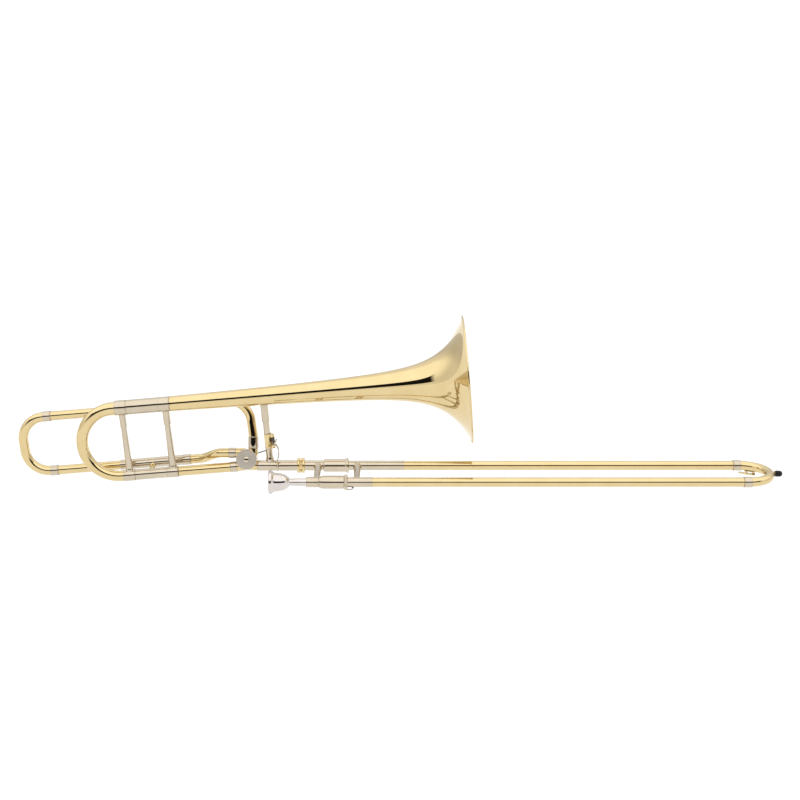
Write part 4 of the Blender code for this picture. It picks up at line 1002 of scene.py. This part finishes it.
def make_mouthpiece():
    """Rounded rim, cup, throat and tapered shank, bored right through; distances are from the rim."""
    cad = Extent("mouthpiece")
    rim, end = cad.start, cad.end
    outside = [(0.25, 18.4), (1.4, 19.4), (3.2, 19.8), (5.4, 19.2), (7.4, 17.4), (9.6, 15.9), (13.0, 15.3),
               (19.0, 14.7), (25.0, 13.3), (29.5, 10.9), (32.5, 8.0), (35.0, 6.2), (38.0, 5.7), (40.5, 6.0),
               (43.0, 6.4), (45.0, 6.0), (47.5, 6.4), (49.5, 6.45)]
    inside = [(52.0, 4.2), (36.0, 3.5), (29.0, 4.6), (22.0, 8.9), (14.0, 11.8), (6.0, 12.9), (2.2, 13.3),
              (0.5, 14.7), (0.0, 16.6), (0.25, 18.4)]
    outer = [(rim + distance, radius) for distance, radius in outside] + [(end, 6.1)]
    inner = [(end, 5.1)] + [(rim + distance, radius) for distance, radius in inside]
    line = smooth_line(outer) + smooth_line(inner)[:-1]
    show(lathe("mouthpiece_fine", line[::-1], SLIDE, cad.at, ease=0, steps=128), "mouthpiece")


def make_water_key():
    """Nipple saddle under the bow and the sprung key that closes it with a cork."""
    across = joint_axis("water_key_hinge")
    key = basis(joint_point("water_key_hinge"), across.cross(Z), Z)
    top = Extent("water_key_saddle", key).high.z
    seat, pillar, nipple, cork_radius = (12.5, -0.4), 1.1, 2.4, 2.6
    place = key @ Matrix.Translation((0, 0, top - 0.6))
    base = prism("water_key_saddle_fine", capsule((0, 0), seat, 3.6, 3.0), 1.2, place, 0.3)
    for side in (-1, 1):
        post = basis(key @ Vector((0, 4.6 * side, 0)), Z, X)
        unite(base, lathe("post", rod(-1.6, top - 0.5, pillar), post, steps=32))
        arm = basis(key @ Vector((0, 0, top - 0.8)), across * side, X)
        unite(base, lathe("arm", rod(2.6, 5.0, pillar), arm, steps=32))
    spot = basis(key @ Vector((*seat, 0)), Z, X)
    unite(base, lathe("nipple", rod(top - 2.5, top - 0.5, nipple), spot, steps=48))
    show(base, "water_key_saddle")
    cork = Extent("water_key_cork", key)
    plug = rod(cork.low.z, cork.high.z, cork_radius)
    show(lathe("water_key_cork_fine", plug, spot, ease=0.3, steps=48), "water_key_cork")
    bar = Extent("water_key", key)
    place = key @ Matrix.Translation((0, 0, bar.centre.z))
    outline = capsule((-11.0, 0), seat, 2.9, 3.1)
    show(prism("water_key_fine", outline, bar.high.z - bar.low.z, place, 0.5), "water_key")


# ---------------------------------------------------------------- stage, light and camera

def grey(value):
    return (value, value, value, 1.0)


def make_stage():
    """A large pale floor well below the instrument; its edges are out of sight."""
    low, _ = CAD_BOX
    shape = bmesh.new()
    bmesh.ops.create_grid(shape, x_segments=1, y_segments=1, size=FLOOR_SIZE)
    bmesh.ops.translate(shape, verts=shape.verts, vec=(0, 0, low.z - FLOOR_DROP))
    mesh = bpy.data.meshes.new("floor")
    shape.to_mesh(mesh)
    shape.free()
    floor = bpy.data.objects.new("floor", mesh)
    bpy.context.scene.collection.objects.link(floor)
    material = bpy.data.materials.new("pale_floor")
    material.use_nodes = True
    shader = material.node_tree.nodes["Principled BSDF"]
    shader.inputs["Base Color"].default_value = grey(FLOOR_TONE)
    shader.inputs["Roughness"].default_value = 1.0
    shader.inputs["Specular IOR Level"].default_value = 0.0
    mesh.materials.append(material)


def make_world():
    """Soft pale studio light: a bright panel above the front, a dark gap below it, pale all round."""
    world = bpy.data.worlds.new("studio")
    bpy.context.scene.world = world
    world.use_nodes = True
    tree = world.node_tree
    tree.nodes.clear()
    output = tree.nodes.new("ShaderNodeOutputWorld")
    background = tree.nodes.new("ShaderNodeBackground")
    tree.links.new(background.outputs["Background"], output.inputs["Surface"])
    direction = tree.nodes.new("ShaderNodeTexCoord")
    parts = tree.nodes.new("ShaderNodeSeparateXYZ")
    tree.links.new(direction.outputs["Generated"], parts.inputs["Vector"])
    side, depth, height = parts.outputs["X"], parts.outputs["Y"], parts.outputs["Z"]

    def calc(kind, a, b=0.0):
        node = tree.nodes.new("ShaderNodeMath")
        node.operation = kind
        for socket, value in zip(node.inputs, (a, b)):
            if isinstance(value, bpy.types.NodeSocket):
                tree.links.new(value, socket)
            else:
                socket.default_value = value
        return node.outputs["Value"]

    def fade(amount, steepness):
        """From 0 to 1 as the amount goes from below zero to above it."""
        blend = calc("MULTIPLY_ADD", amount, steepness)
        blend.node.inputs[2].default_value = 0.5
        blend.node.use_clamp = True
        return blend

    def glow(stops):
        """Brightness over the height of the direction, from level to straight up."""
        ramp = tree.nodes.new("ShaderNodeValToRGB")
        elements = ramp.color_ramp.elements
        elements[0].color = grey(stops[0][1] / FULL)
        elements[1].color = grey(stops[-1][1] / FULL)
        for place, value in stops[1:-1]:
            elements.new(place).color = grey(value / FULL)
        tree.links.new(height, ramp.inputs["Fac"])
        return ramp.outputs["Color"]

    between_sides = fade(calc("SUBTRACT", GAP_REACH, calc("ABSOLUTE", side)), GAP_FADE)
    in_front = calc("MULTIPLY", between_sides, calc("LESS_THAN", depth, 0.0))
    mix = tree.nodes.new("ShaderNodeMix")
    tree.links.new(in_front, mix.inputs["Factor"])
    tree.links.new(glow(ROOM_GLOW), mix.inputs["A"])
    tree.links.new(glow(FRONT_GLOW), mix.inputs["B"])
    behind = fade(calc("SUBTRACT", depth, BACK_START), BACK_FADE)
    dim = calc("SUBTRACT", 1.0, calc("MULTIPLY", behind, 1.0 - BACK_GLOW))
    tree.links.new(calc("MULTIPLY", mix.outputs["Result"], dim), background.inputs["Color"])
    background.inputs["Strength"].default_value = FULL


def make_camera():
    data = bpy.data.cameras.new("camera")
    data.sensor_width = 36.0
    data.lens = CAMERA_LENS
    camera = bpy.data.objects.new("camera", data)
    bpy.context.scene.collection.objects.link(camera)
    down, roll, right = (math.radians(angle) for angle in CAMERA_TURN)
    turn = Matrix.Rotation(-right, 4, "Z") @ Matrix.Rotation(math.pi / 2 - down, 4, "X")
    camera.matrix_world = Matrix.Translation(CAMERA_PLACE) @ turn @ Matrix.Rotation(roll, 4, "Z")
    bpy.context.scene.camera = camera


# ---------------------------------------------------------------- putting it together

def make_bell_section():
    make_bell()
    make_tubes_and_ferrules()
    section_brace("tuning_brace", socket=5.6, waist=4.7, foot=5.7, socket_length=22.0)
    section_brace("bell_section_brace", socket=6.0, waist=4.9, foot=5.9, socket_length=22.0)
    make_bell_brace()
    make_slide_braces()
    f_low, f_high = Extent("f_lower_sleeve", SECTION), Extent("f_upper_sleeve", SECTION)
    make_stay("f_stay_lower", LOWER_LEG, f_low.at, LOWER_SLEEVE_RADIUS, F_SLEEVE_RADIUS)
    stay_x = Extent("f_stay_upper", SECTION).centre.x
    throat = bell_radius(Extent("bell", SECTION).end - stay_x)
    make_stay("f_stay_upper", UPPER_LEG, f_high.at, throat + THROAT_GAP, F_SLEEVE_RADIUS)
    make_tuning_crook()
    make_f_crook()


def finish_plain_nodes():
    """CAD nodes that have no finer piece still show, so they get the same metals."""
    for node, plain in NODES.items():
        if not plain.hide_render:
            plain.data.materials.clear()
            plain.data.materials.append(MATERIALS[SLOT_OF[node]])


def main():
    bpy.context.scene.view_settings.view_transform = "Standard"
    make_bell_section()
    make_slide_bow()
    make_f_riser()
    make_f_return()
    make_valve()
    make_stop_plate()
    arm_tip = make_stop_arm()
    link_end = make_link(arm_tip)
    make_lever_saddle()
    make_lever_hinge()
    make_thumb_lever(link_end)
    make_lock_nut()
    make_barrels()
    make_outer_sleeves()
    make_bumper()
    make_mouthpiece()
    make_water_key()
    finish_plain_nodes()
    make_stage()
    make_world()
    make_camera()


main()
